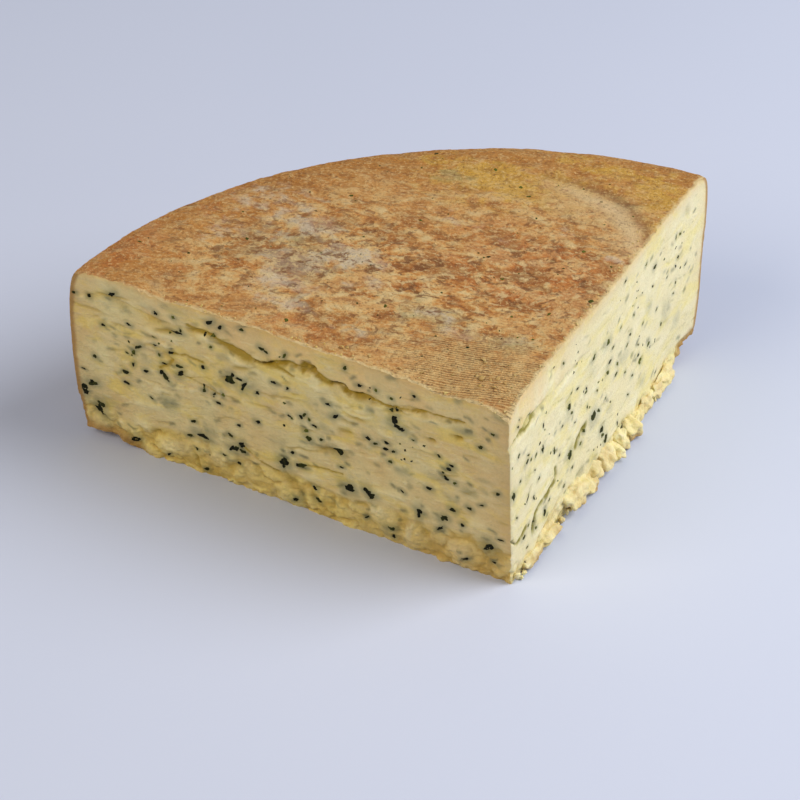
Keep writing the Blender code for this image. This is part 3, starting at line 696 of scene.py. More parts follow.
def polar(points):
    """Distance from the wheel's centre, and the share of the way round from the left to the right end."""
    radius = np.hypot(*(points - WHEEL_CENTRE).T)
    share = np.clip((pi - angle_of(points)) / (pi / 2.0), 0.0, 1.0)
    return radius, share


def top_height(points):
    """The height of the top rind over a point of the plan."""
    x, y = points.T
    radius, _ = polar(points)
    inward = TOP_RADIUS - radius
    height = HEIGHT + TOP_WAVE * soft_noise(x, y, TOP_WAVE_SIZE, 3.0)
    height -= BAND_DROP * (1.0 - smooth_step(*BAND_EDGE, inward - BAND_WIDTH))
    height -= RIM_DROOP * np.clip(1.0 - inward / RIM_SOFTNESS, 0.0, 1.0) ** 2
    height -= TIP_DROP * np.clip(1.0 - (y - x) / TIP_SIZE, 0.0, 1.0)
    near_front = np.exp(-np.maximum(y, 0.0) / EDGE_DIP_WIDTH)
    for distance, dip in FRONT_EDGE_DIPS:
        height += dip * near_front * np.exp(-(((-x - distance) / EDGE_DIP_WIDTH) ** 2))
    return height


def foot_height(points):
    """The height of the underside over a point of the plan."""
    radius, share = polar(points)
    lift = FOOT_LIFT_LEFT + (FOOT_LIFT_RIGHT - FOOT_LIFT_LEFT) * share
    inward = TOP_RADIUS - radius
    return lift * (1.0 - smooth_step(*FOOT_LIFT_REACH, inward))


def split_profile(above, gape):
    """How far the paste stands out near the split, by the height above it."""
    slab = -SLAB_SET_BACK * smooth_step(*SLAB_EDGE, above) * np.exp(-np.maximum(above, 0.0) / LEDGE_FADE)
    ledge = LEDGE_PROUD * smooth_step(0.0, LEDGE_DROP, -above) * np.exp(np.minimum(above, 0.0) / LEDGE_FADE)
    groove = -SPLIT_DEPTH * np.exp(-((above / SPLIT_WIDTH) ** 2))
    return gape * (slab + ledge + groove)


def torn_paste(distance, z, tear_height, layer):
    """The torn paste along the base: how far it stands out, how torn it is, and the crowns of its lumps."""
    edge = tear_height + TEAR_WAVE * soft_noise(distance, 0.0 * z, TEAR_WAVE_SIZE, layer)
    below, above = TEAR_EDGE
    torn = 1.0 - smooth_step(edge + below, edge + above, z)
    warp_u = distance + TEAR_WARP * fractal(distance, z, 6.0, 900, 3)
    warp_v = z + TEAR_WARP * fractal(distance, z, 5.0, 910, 3)
    crown = lumps(warp_u, warp_v, TEAR_LUMP_SIZE, layer)
    tuck = FOOT_TUCK * np.clip(1.0 - z / FOOT_TUCK_HEIGHT, 0.0, 1.0)
    return torn * (TEAR_ROUGHNESS * (crown - 0.5) - tuck), torn, crown


def hump(distance, entry):
    """A smooth swelling along a cut, from its (distance, width, height)."""
    middle, width, height = entry
    return height * np.exp(-(((distance - middle) / width) ** 2))


def front_wave(distance, z):
    """The front cut's slow waves."""
    return CUT_WAVE * soft_noise(distance, z, CUT_WAVE_SIZE, 11.0)


def right_wave(distance, z):
    """The right cut's slow waves, its bow at mid-length and its twist at the corner."""
    wave = CUT_WAVE * soft_noise(distance, z, CUT_WAVE_SIZE, 17.0)
    wave += hump(distance, RIGHT_BOW) * smooth_step(0.5, 1.0, z / HEIGHT)
    wave += hump(distance, RIGHT_FOOT_BAY) * smooth_step(0.5, 0.0, z / HEIGHT)
    top, foot, fade = CORNER_TWIST
    return wave + (foot + (top - foot) * z / HEIGHT) * np.exp(-distance / fade)


# Finer relief and stains


def scattered(seed, count, ranges):
    """Seeded marks within the given ranges, in the same form as the placed ones."""
    draw = np.random.default_rng(seed)
    return [tuple(draw.uniform(low, high) for low, high in ranges) for _ in range(count)]


def fleck_list(side):
    """All the flecks of one cut: (distance from the corner, height, length, width, tilt, tone)."""
    draw = np.random.default_rng(side.seed + FLECK_SEED)
    darkest, palest = side.tones
    listed = [(*entry, draw.uniform(darkest, SLIVER_PALEST)) for entry in side.slivers]
    for size, places in zip((LARGE_FLECK, MIDDLE_FLECK, SMALL_FLECK), side.flecks):
        for u, v in places:
            length, width = size * draw.uniform(*FLECK_LENGTH), size * draw.uniform(*FLECK_WIDTH)
            listed.append((u, v, length, width, draw.uniform(*FLECK_TILT), draw.uniform(darkest, palest)))
    for _ in range(side.clusters):
        middle = draw.uniform(*CLUSTER_DISTANCE), draw.uniform(*CLUSTER_HEIGHT)
        for _ in range(draw.integers(*CLUSTER_FLECKS)):
            size = draw.uniform(*SCATTERED_SIZE)
            u, v = draw.normal(middle, CLUSTER_SPREAD)
            tilt = draw.uniform(-90, 90)
            length = size * draw.uniform(*SCATTERED_LENGTH)
            listed.append((u, v, length, size, tilt, draw.uniform(*SCATTERED_TONE)))
    return [
        (u, v, side.fleck_scale * length, side.fleck_scale * width, tilt, tone)
        for u, v, length, width, tilt, tone in listed
        if FLECK_NEAREST < u < FLECK_FARTHEST and FLECK_LOWEST < v < FLECK_HIGHEST
    ]


def leaf_halos(side):
    """The leaf's soft shadow in the paste round each fleck, as marks."""
    return [
        (u, v, HALO_SPREAD * length, HALO_SPREAD * width, tilt, side.halo)
        for u, v, length, width, tilt, _ in fleck_list(side) if length > HALO_LEAST_LENGTH
    ]


def ragged_split(distance, above, side):
    """The height above the split with its edge made ragged, and how far it gapes, opening and closing."""
    rag = RAG[0] * layer_of(CUT_NOISE, "rag", distance, above, side.seed)
    rag += RAG[1] * layer_of(CUT_NOISE, "fine rag", distance, above, side.seed)
    ragged = above + rag * np.exp(-((above / RAG_REACH) ** 2))
    least, change = GAPE_SHARE
    share = least + change * layer_of(CUT_NOISE, "gape", distance, 0.0 * above, side.seed)
    return ragged, np.maximum(along(side.gape, distance) * share, 0.0)


def cut_forms(distance, z, above, side):
    """How strongly each kind of mark or broken paste shows at each point of a cut."""

    def layer(name, u=distance, v=z):
        return layer_of(CUT_NOISE, name, u, v, side.seed)

    warp_u, warp_v = distance + WARP_ALONG * layer("warp along"), z + WARP_UP * layer("warp up")
    near_u, near_v = distance + NEAR_WARP * layer("near along"), z + NEAR_WARP * layer("near up")
    halo_u = HALO_WARP * warp_u + (1.0 - HALO_WARP) * distance
    halo_v = HALO_WARP * warp_v + (1.0 - HALO_WARP) * z
    smears = scattered(side.seed + SMEAR_SEED, SMEAR_COUNT, SMEAR_RANGES)
    form = SimpleNamespace()
    form.slit = marks(warp_u, warp_v, side.slits)
    form.pit = marks(warp_u, warp_v, side.pits)
    form.flap = marks(warp_u, warp_v, side.flaps)
    form.nick = marks(warp_u, warp_v, smears[::2])
    form.smear = marks(warp_u, warp_v, smears[1::2])
    form.buried = marks(warp_u, warp_v, side.buried) * (0.65 + 0.35 * layer("buried"))
    form.halo = marks(halo_u, halo_v, leaf_halos(side))
    form.ghost = marks(near_u, near_v, scattered(side.seed + GHOST_SEED, side.ghosts, GHOST_RANGES))
    form.smeared = marks(near_u, near_v, side.smears)
    form.olive_line = lines(near_u, near_v, side.olive_lines)
    form.dark_line = lines(near_u, near_v, side.dark_lines)
    form.notch = smooth_step(0.35, 0.5, marks((distance + near_u) / 2.0, near_v, side.notches))

    _, torn, form.crown = torn_paste(distance, z, side.tear_height, side.layer)
    form.torn = torn * (0.55 + 0.45 * smooth_step(-0.3, 0.3, layer("torn patches")))
    form.crease = form.torn * (1.0 - smooth_step(0.04, 0.34, form.crown))
    crag = np.abs(layer("crags", warp_u, warp_v))
    form.crag = np.minimum(crag, CRAG_LIMIT)
    form.small_crease = form.torn * (1.0 - smooth_step(0.0, 0.08, crag))
    form.torn_flakes = smooth_step(0.0, 0.12, layer("torn flakes"))
    form.torn_grain = layer("torn grain")

    ragged, gape = ragged_split(distance, above, side)
    open_split = np.clip(gape, 0, 1)
    form.in_split = gape * np.exp(-((ragged / GROOVE_WIDTH) ** 2))
    form.ledge = open_split * smooth_step(*LEDGE_RISE, above) * (1.0 - smooth_step(*LEDGE_END, ragged))
    form.uneven_ledge = form.ledge * layer("ledge")
    form.slab = open_split * smooth_step(*SLAB_START, ragged)
    wet = smooth_step(-0.25, 0.2, layer("wet"))
    form.wet = wet * open_split * np.exp(-(((ragged - WET_LEVEL) / WET_REACH) ** 2))

    rough = 0.35 + 0.65 * smooth_step(-0.2, 0.5, layer("rough patches"))
    rough = rough * (1.0 - 0.6 * form.slab)
    form.flaky = layer("flaky")
    form.pressed = rough * layer("pressed")
    form.grainy = (0.5 + rough) * layer("grainy")
    form.flake = rough * smooth_step(0.22, 0.3, form.flaky)
    form.uneven = 0.9 + 0.9 * layer("uneven")
    form.top_edge = layer("top edge")
    return form


def weighted(form, weights):
    """The sum of the named forms, each with its own weight."""
    return sum(weight * getattr(form, name) for name, weight in weights.items())


def cut_detail(distance, z, above, below_top, side):
    """Fine relief of a cut face, and its stain masks with painted shade and highlight. side holds that face's
    own marks and courses.
    """
    form = cut_forms(distance, z, above, side)
    below = np.maximum(below_top, 0.0)
    relief = side.roughness * weighted(form, ROUGH_RELIEF) + weighted(form, CUT_RELIEF)
    relief += form.torn * (weighted(form, TORN_RELIEF) - TORN_SINK)
    relief -= (TOP_EDGE_RELIEF[0] + TOP_EDGE_RELIEF[1] * form.top_edge) * np.exp(-below / TOP_EDGE_REACH)
    at_foot = smooth_step(*WORN_FOOT_ALONG, distance) * smooth_step(*WORN_FOOT_UP, z)
    worn = np.maximum(np.exp(-distance / WORN_CORNER), at_foot)
    olive = side.wetness * (form.slit**0.7 + form.wet + 0.9 * form.pit)
    olive += form.uneven * (1.5 * form.olive_line**0.7 + 0.8 * form.smeared)
    # The paste's olive in the split's groove and along the thin cracks is painted shade.
    olive += form.dark_line + 0.6 * form.in_split + 0.5 * form.nick
    # pale is partly the paste's own paler flakes and smears and partly painted highlight on raised tops: the
    # flaps, the lit ledge under the split and the crowns of the torn lumps.
    pale = form.flap + 0.7 * form.smear + 0.5 * form.flake
    pale += 0.6 * form.ledge * (0.5 + form.flaky) + 0.5 * form.torn * form.crown
    # This mask is painted shade: near-black in the split's groove, along the thin cracks and in the deepest
    # parts of the pits.
    crack_shade = form.dark_line + np.clip(0.9 * form.in_split - 0.5, 0, 1) + 0.5 * (form.pit - 0.6)
    stains_and_shading = {
        "olive": np.clip(olive, 0, 1),
        "crack_shade": np.clip(crack_shade, 0, 1),
        "pale": np.clip(pale - form.notch, 0, 1),
        "buried": np.clip(np.maximum(form.buried, form.halo), 0, 1),
        "ghost": form.ghost,
        # crease is painted shade: darker orange-tan in the creases between the torn lumps and in the notch
        # where a piece of the slab broke out.
        "crease": np.clip(form.crease + 0.5 * form.small_crease + 0.9 * form.notch, 0, 1),
        # torn is the yellower torn paste along the base; its share on the ledge under the split is a painted
        # highlight.
        "torn": np.clip(form.torn + 0.7 * form.ledge, 0, 1),
        "dry": np.maximum(np.exp(-below / DRY_EDGE), side.worn * worn),
        "slab": form.slab,
    }
    return relief, stains_and_shading


FRONT_SIDE = SimpleNamespace(
    seed=100, slits=FRONT_SLITS, pits=FRONT_PITS, flaps=FRONT_FLAPS, buried=FRONT_BURIED, gape=FRONT_GAPE,
    smears=FRONT_SMEARS, notches=FRONT_NOTCHES, olive_lines=FRONT_OLIVE_LINES, dark_lines=FRONT_DARK_LINES,
    tear_height=FRONT_TEAR_HEIGHT, layer=5.0, roughness=0.9, clusters=15, slivers=FRONT_SLIVERS,
    tones=(0.0, 0.5), halo=0.7, ghosts=150, fleck_scale=0.95, worn=0.95, wetness=0.8,
    flecks=(FRONT_LARGE_FLECKS, FRONT_MIDDLE_FLECKS, FRONT_SMALL_FLECKS),
)
RIGHT_SIDE = SimpleNamespace(
    seed=300, slits=RIGHT_SLITS, pits=RIGHT_PITS, flaps=RIGHT_FLAPS, buried=RIGHT_BURIED, gape=RIGHT_GAPE,
    smears=RIGHT_SMEARS, notches=RIGHT_NOTCHES, olive_lines=RIGHT_OLIVE_LINES, dark_lines=RIGHT_DARK_LINES,
    tear_height=RIGHT_TEAR_HEIGHT, layer=9.0, roughness=0.3, clusters=14, slivers=RIGHT_SLIVERS,
    tones=(0.35, 1.0), halo=0.5, ghosts=60, fleck_scale=0.76, worn=0.15, wetness=0.35,
    flecks=(RIGHT_LARGE_FLECKS, RIGHT_MIDDLE_FLECKS, RIGHT_SMALL_FLECKS),
)


def weave_strength(x, y):
    """How clearly the cloth's imprint shows in the rind near the corner, from 0 to 1."""
    lean_x, lean_y = WEAVE_CENTRE
    long, short = WEAVE_SHAPE
    reach = np.hypot((x - lean_x) / long, (y - lean_y) / short) / WEAVE_REACH
    return 1.0 - smooth_step(*WEAVE_FADE, reach + 0.35 * layer_of(RIND_NOISE, "weave", x, y))


def ring_imprint(x, y):
    """The pressed ring: how clearly it shows, by its arc, and how far outside it each point lies."""
    centre_x, centre_y = RING_CENTRE
    outside = np.hypot(x - centre_x, y - centre_y) - RING_RADIUS
    angle = np.arctan2(y - centre_y, x - centre_x)
    start, end = RING_ARC
    fade_in, fade_out = RING_FADES
    window = smooth_step(start - fade_in, start + fade_in, angle)
    window = window * (1.0 - smooth_step(end - fade_out, end + fade_out, angle))
    return window, outside + 1.2 * layer_of(RIND_NOISE, "ring", x, y)


def rind_detail(x, y, inward, behind_cut):
    """Fine relief of the top rind, and its stain masks with painted shade in the hollows."""

    def layer(name, u=x):
        return layer_of(RIND_NOISE, name, u, y)

    warp_x = x + 5.0 * layer("warp across")
    warp_y = y + 3.0 * layer("warp back")
    speckle = BLOTCH_SPECKLE * layer("speckle")
    window, outside = ring_imprint(x, y)
    island = layer("islands", ISLAND_STRETCH * x + ISLAND_WARP * layer("island warp"))
    flaky = blobs(x, y, FLAKY_AREAS)
    calm = CALM_SHARE + (1.0 - CALM_SHARE) * flaky
    flake = smooth_step(*FLAKE_FROM, island) * calm
    # hollow is painted shade: the rind is darkened in the low parts of the islands, which the relief below
    # sinks.
    hollow = (1.0 - smooth_step(*HOLLOW_UP_TO, island)) * calm
    edge = 1.0 - smooth_step(*PALE_EDGE, behind_cut + 1.3 * layer("edge"))
    edge *= 1.0 - 0.8 * smooth_step(*PALE_EDGE_ENDS, x)
    stains_and_shading = {}
    for label, (entries, threshold, softness) in RIND_BLOTCHES.items():
        shape = blobs(warp_x, warp_y, entries)
        spread = smooth_step(threshold, threshold + softness, shape + speckle)
        stains_and_shading[label] = spread * np.clip(3.0 * shape, 0, 1)
    stains_and_shading["bloom"] = stains_and_shading["bloom"] * (0.5 + 0.5 * flake)
    stains_and_shading["band"] = 1.0 - smooth_step(*BAND_FADE, inward + 6.0 * layer("band"))
    stains_and_shading["ring"] = window * np.exp(-((outside / RING_WIDTH) ** 2))
    stains_and_shading["arc"] = window * np.exp(-(((outside + ARC_PLACE) / ARC_WIDTH) ** 2))
    stains_and_shading["edge"] = edge
    stains_and_shading["flake"] = flake
    stains_and_shading["hollow"] = hollow
    stains_and_shading["flaky"] = flaky
    stains_and_shading["weave"] = weave_strength(x, y)
    relief = 0.16 * layer("waves") + 0.06 * layer("fine") + 0.32 * flake - 0.25 * hollow
    relief += 0.06 * stains_and_shading["bloom"] - 0.25 * stains_and_shading["ring"]
    ragged_edge = RIND_EDGE_RELIEF[0] + RIND_EDGE_RELIEF[1] * layer("top edge")
    relief -= ragged_edge * np.exp(-np.maximum(behind_cut, 0.0) / RIND_EDGE_REACH)
    return relief, stains_and_shading


def rim_cloud(turn, z, layer):
    """Large clouds of noise round the rim."""
    return fractal(RIM_CLOUD_STRETCH * turn, z, RIM_CLOUD_SIZE, layer, RIM_CLOUD_OCTAVES)


def rim_detail(turn, z):
    """Fine relief of the rim's rind."""
    relief = RIM_RELIEF * fractal(turn, z, 7.0, 700, 3) + RIM_GRAIN * fractal(turn, z, 1.8, 710, 3)
    return relief + RIM_RELIEF * smooth_step(*FLAKE_FROM, rim_cloud(turn, z, 680))


def large_relief(on_cut, distance, z, above, side, wave):
    """How far a cut's large forms stand out. on_cut is 1 on the cut and fades to 0 behind it."""
    relief = np.zeros_like(z)
    near = on_cut > 0.0
    distance, z, above = distance[near], z[near], above[near]
    relief[near] = wave(distance, z) + split_profile(*ragged_split(distance, above, side))
    relief[near] += torn_paste(distance, z, side.tear_height, side.layer)[0]
    return relief * on_cut**2


def within(depth, reach):
    """1 on a surface, and down to 0 at the given reach behind it."""
    return np.clip(1.0 - depth / reach, 0.0, 1.0)


def surface(a, b, level):
    """Lattice points on the cheese with all their relief, and what finer work needs to know about them."""
    points = plan(a, b, level)
    foot, top = foot_height(points), top_height(points)
    z = foot + level / HEIGHT * (top - foot)
    points = plan(a, b, np.clip(z, 0.0, HEIGHT))
    offset = points - corner_at(z)
    s, t = -offset[:, 0], offset @ RIGHT_DIRECTION
    behind_front, behind_right = offset[:, 1], -(offset @ RIGHT_OUTWARD)
    behind_cut = np.minimum(behind_front, behind_right)
    on_front, on_right = within(behind_front, RELIEF_REACH), within(behind_right, RELIEF_REACH)
    below = np.clip(level / SPLIT_LEVEL, 0.0, 1.0)
    over = np.clip((HEIGHT - level) / (HEIGHT - SPLIT_LEVEL), 0.0, 1.0)
    shift = on_front * (along(FRONT_SPLIT, s) - SPLIT_LEVEL)
    shift = np.where(on_right > on_front, on_right * (along(RIGHT_SPLIT, t) - SPLIT_LEVEL), shift)
    above = level - SPLIT_LEVEL
    z = z + shift * below * over
    front = large_relief(on_front, s, z, above, FRONT_SIDE, front_wave)
    right = large_relief(on_right, t, z, above, RIGHT_SIDE, right_wave)

    below_top = (HEIGHT - level) / HEIGHT * (top - foot)
    stains_and_shading = {}
    for name, relief, distance, behind, side in (
        ("front", front, s, behind_front, FRONT_SIDE),
        ("right", right, t, behind_right, RIGHT_SIDE),
    ):
        fade = within(behind, FINE_REACH)
        near = fade > 0.0
        detail, found = cut_detail(distance[near], z[near], above[near], below_top[near], side)
        wear = CORNER_WEAR * np.exp(-np.maximum(distance[near], 0.0) / CORNER_WEAR_REACH)
        relief[near] += (detail - wear) * fade[near]
        stains_and_shading[name] = (near, found)
    radius, share = polar(points)
    fade = within(below_top, FINE_REACH)
    near = fade > 0.0
    x, y = points[near].T
    detail, found = rind_detail(x, y, TOP_RADIUS - radius[near], behind_cut[near])
    lift = np.zeros_like(z)
    lift[near] = detail * fade[near]
    stains_and_shading["top"] = (near, found)

    outward = (points - WHEEL_CENTRE) / radius[:, None]
    from_rim = np.maximum(rim_radius(np.clip(z, 0.0, HEIGHT), share) - radius, 0.0)
    turn = share * pi / 2.0 * TOP_RADIUS
    away = np.clip(behind_cut / 2.0, 0.0, 1.0)
    rim = within(from_rim, FINE_REACH) * away * rim_detail(turn, z)

    points = points + front[:, None] * FRONT_OUTWARD + right[:, None] * RIGHT_OUTWARD
    points = points + rim[:, None] * outward
    where = SimpleNamespace(
        s=s, t=t, z=z, below_top=below_top, turn=turn, from_rim=from_rim, stains_and_shading=stains_and_shading,
    )
    return np.column_stack([points, np.maximum(z + lift, 0.0)]), where


# Pieces


def graded(length, spots, widest=COARSE_STEP):
    """Positions from 0 to length, closer together near the given spots."""
    positions = [0.0]
    while positions[-1] < length:
        gap = min(abs(positions[-1] - spot) for spot in spots) / GRADING_REACH
        positions.append(positions[-1] + FINE_STEP + (widest - FINE_STEP) * min(1.0, gap))
    return np.array(positions) * length / positions[-1]


def to_part(points):
    """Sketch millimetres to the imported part's metres."""
    return (np.asarray(points) + SKETCH_SHIFT) * MM


def add_piece(name, mesh, material, replaces=True):
    """Places a mesh in the scene with its material, hangs it under the root body, and hides the solid's node
    when it replaces it.
    """
    piece = bpy.data.objects.new(name, mesh)
    bpy.context.scene.collection.objects.link(piece)
    mesh.materials.append(material)
    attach(piece, "root")
    if replaces:
        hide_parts(NODE_NAME)
    return piece


def mesh_from(name, points, faces, attributes):
    """A smooth mesh in the part's frame, with float attributes on its points."""
    mesh = bpy.data.meshes.new(name)
    mesh.from_pydata(to_part(points).tolist(), [], faces.tolist())
    mesh.shade_smooth()
    for label, values in attributes.items():
        mesh.attributes.new(label, "FLOAT", "POINT").data.foreach_set("value", values.astype(np.float32))
    mesh.update()
    return mesh


def grid_faces(columns, rows, flip):
    """Quads of a grid whose points run row by row within each column."""
    index = np.arange(columns * rows).reshape(columns, rows)
    corners = [index[:-1, :-1], index[1:, :-1], index[1:, 1:], index[:-1, 1:]]
    quads = np.stack(corners, axis=-1).reshape(-1, 4)
    return quads[:, ::-1] if flip else quads


def full_stains_and_shading(where, face, labels):
    """The stain and painted-light masks of one face over all points of a patch, 0 where they weren't worked
    out.
    """
    near, found = where.stains_and_shading[face]
    result = {}
    for label in labels:
        values = np.zeros(len(near))
        values[near] = found[label]
        result[label] = values
    return result


def cut_patch(name, shares, levels, face, material):
    """One of the two cut faces, with rind along its far end and its foot."""
    along_cut, level = (grid.ravel() for grid in np.meshgrid(shares, levels, indexing="ij"))
    on_front = face == "front"
    a, b = (along_cut, 0.0 * along_cut) if on_front else (0.0 * along_cut, along_cut)
    points, where = surface(a, b, level)
    attributes = full_stains_and_shading(where, face, PASTE_LABELS)
    rag = 0.5 * fractal(where.z, where.s + where.t, 3.0, 640, 2)
    attributes["rind"] = 1.0 - smooth_step(0.9, 2.2, where.from_rim + rag)
    attributes["dry"] = np.maximum(attributes["dry"], 0.8 * np.exp(-where.from_rim / 3.0))
    above_foot = where.z - foot_height(points[:, :2])
    distance = where.s if on_front else where.t
    foot_rind = smooth_step(*FOOT_RIND_FROM, distance)
    shown = np.maximum(foot_rind, 0.5 * smooth_step(0.1, 0.4, 2.0 * rag))
    depth = 1.0 - smooth_step(0.4, 1.0 + 4.0 * foot_rind, above_foot + 2.0 * rag)
    attributes["rind"] = np.maximum(attributes["rind"], shown * depth)
    faces = grid_faces(len(shares), len(levels), flip=on_front)
    mesh = mesh_from(name, points, faces, attributes)
    return add_piece(name, mesh, material)


def top_patch(shares, material):
    """The top rind."""
    a, b = (grid.ravel() for grid in np.meshgrid(shares, shares, indexing="ij"))
    points, where = surface(a, b, 0.0 * a + HEIGHT)
    faces = grid_faces(len(shares), len(shares), flip=True)
    mesh = mesh_from("rind_top", points, faces, full_stains_and_shading(where, "top", RIND_LABELS))
    return add_piece("rind_top", mesh, material)


def rim_patch(shares, levels, material):
    """The rind round the rim, from the left end of the front cut to the far end of the right cut."""
    a = np.concatenate([0.0 * shares[:-1] + 1.0, shares[::-1]])
    b = np.concatenate([shares[:-1], 0.0 * shares + 1.0])
    columns = len(a)
    a, level = (grid.ravel() for grid in np.meshgrid(a, levels, indexing="ij"))
    b = np.repeat(b, len(levels))
    points, where = surface(a, b, level)
    attributes = full_stains_and_shading(where, "top", RIND_LABELS)
    attributes["band"] = np.ones(len(a))
    upper = within(where.below_top, FINE_REACH)
    below = 1.0 - upper
    for label, layer, strength in RIM_STAINS:
        cloud = strength * smooth_step(*RIM_CLOUD_FROM, rim_cloud(where.turn, where.z, layer))
        attributes[label] = upper * attributes[label] + below * cloud
    attributes["flaky"] = upper * attributes["flaky"] + 0.4 * below
    faces = grid_faces(columns, len(levels), flip=True)
    mesh = mesh_from("rind_rim", points, faces, attributes)
    return add_piece("rind_rim", mesh, material)


def foot_patch(shares, material):
    """The underside, joined point for point to the edges of the other patches."""
    out, back = shares[:-1], shares[:0:-1]
    zeros = 0.0 * out
    loop_a = np.concatenate([out, zeros + 1.0, back, zeros])
    loop_b = np.concatenate([zeros, out, zeros + 1.0, back])
    inner = np.linspace(0.02, 0.98, FOOT_LINES)
    inner_a, inner_b = (grid.ravel() for grid in np.meshgrid(inner, inner, indexing="ij"))
    a, b = np.concatenate([loop_a, inner_a]), np.concatenate([loop_b, inner_b])
    points, where = surface(a, b, 0.0 * a)
    rim = list(range(len(loop_a)))
    edges = [(i, (i + 1) % len(rim)) for i in rim]
    flat = [Vector(p) for p in points[:, :2]]
    found = geometry.delaunay_2d_cdt(flat, edges, [], 1, 1e-7)
    source = [origins[0] for origins in found[3]]
    faces = np.array([[source[i] for i in face][::-1] for face in found[2]])
    attributes = {label: np.zeros(len(a)) for label in RIND_LABELS}
    attributes["band"] = 0.5 + 0.0 * a
    mesh = mesh_from("rind_foot", points, faces, attributes)
    return add_piece("rind_foot", mesh, material)


def crumb_points(index):
    """One crumb at the foot of the right cut, in sketch millimetres: its points and its triangles."""
    distance, width, depth, height = CRUMBS[index]
    bm = bmesh.new()
    bmesh.ops.create_icosphere(bm, subdivisions=CRUMB_SUBDIVISIONS, radius=0.5)
    for vert in bm.verts:
        sphere = vert.co.copy()
        shift = Vector((0, 0, CRUMB_NOISE_STEP * index))
        vert.co *= 1.0 + CRUMB_ROUGHNESS * noise.noise(sphere * CRUMB_LUMPS + shift)
        vert.co.x -= CRUMB_SPREAD * vert.co.z
    lowest = min(vert.co.z for vert in bm.verts)
    foot = corner_at(np.array([height / 2.0]))[0] + distance * RIGHT_DIRECTION
    turn = Matrix.Rotation(RIGHT_CUT_TURN, 4, "Z")
    size = Matrix.Diagonal((depth, width, height, 1.0))
    spot = Matrix.Translation(Vector((foot[0], foot[1], CRUMB_CLEARANCE - lowest * height)))
    bm.transform(spot @ turn @ size)
    bm.normal_update()
    for vert in bm.verts:
        vert.co += vert.normal * crumbly(vert.co)
        vert.co.z = max(vert.co.z, LOWEST_CRUMB)
    return points_and_faces(bm)


def crumbly(point):
    """How far the broken surface of a crumb stands out at a point, in millimetres."""
    coarse = noise.voronoi(point / CRUMB_GRAIN)[0]
    lump = min(1.0, CREASE_STEEPNESS * (coarse[1] - coarse[0]))
    fine = CRUMB_FINE_SHARE * CRUMB_RELIEF * noise.fractal(point / CRUMB_FINE_GRAIN, 0.7, 2.0, 3)
    return CRUMB_RELIEF * (lump - CRUMB_CREASE) + fine


def points_and_faces(bm):
    """The points and triangles of a bmesh, which is freed."""
    points = np.array([vert.co[:] for vert in bm.verts])
    faces = np.array([[vert.index for vert in face.verts] for face in bm.faces])
    bm.free()
    return points, faces


def small_crumb(draw, place, size, subdivisions=2):
    """A small broken crumb of the given size round a place."""
    bm = bmesh.new()
    bmesh.ops.create_icosphere(bm, subdivisions=subdivisions, radius=0.5)
    shift = Vector(draw.uniform(0.0, 50.0, 3))
    stretch = draw.uniform(*SMALL_CRUMB_STRETCH, 3)
    for vert in bm.verts:
        vert.co *= 1.0 + SMALL_CRUMB_ROUGHNESS * noise.noise(vert.co * SMALL_CRUMB_LUMPS + shift)
        vert.co = Vector(place) + Vector(np.array(vert.co) * stretch * size)
    return points_and_faces(bm)


def join_lists(parts):
    """Joins (points, faces) pairs into one pair."""
    points, faces, start = [], [], 0
    for part_points, part_faces in parts:
        points.append(part_points)
        faces.append(part_faces + start)
        start += len(part_points)
    return np.concatenate(points), np.concatenate(faces)


def foot_crumbs(material):
    """The solid's crumbs with a broken surface, and small ones strewn between them."""
    draw = np.random.default_rng(57)
    made = [crumb_points(index) for index in range(len(CRUMBS))]
    for _ in range(SMALL_CRUMBS):
        distance, size = draw.uniform(*SMALL_CRUMB_PLACE), draw.uniform(*SMALL_CRUMB_SIZE)
        out = draw.uniform(*SMALL_CRUMB_OUT) + SMALL_CRUMB_OUT_BY_SIZE * size
        foot = corner_at(np.array([0.0]))[0] + distance * RIGHT_DIRECTION + out * RIGHT_OUTWARD
        made.append(small_crumb(draw, (*foot, size * draw.uniform(*SMALL_CRUMB_RISE)), size))
    points, faces = join_lists(made)
    points[:, 2] = np.maximum(points[:, 2], LOWEST_SMALL_CRUMB)
    x, y, z = points.T
    blank = np.zeros(len(points))
    attributes = {label: blank for label in PASTE_LABELS}
    attributes["pale"] = 0.5 + 0.5 * fractal(y, z, 3.0, 800, 2)
    attributes["torn"] = blank + 1.0
    attributes["dry"] = np.clip(0.3 + 0.7 * fractal(y, x, 5.0, 815, 3), 0, 1)
    brown = smooth_step(-0.1, 0.35, fractal(y, x, 9.0, 805, 2))
    attributes["rind"] = brown * (1.0 - smooth_step(0.5, 4.4, z + 1.2 * fractal(x, y, 2.5, 810, 2)))
    attributes["crease"] = np.clip(fractal(y, z, 2.2, 820, 2), 0, 1)
    mesh = mesh_from("foot_crumbs", points, faces, attributes)
    return add_piece("foot_crumbs", mesh, material)


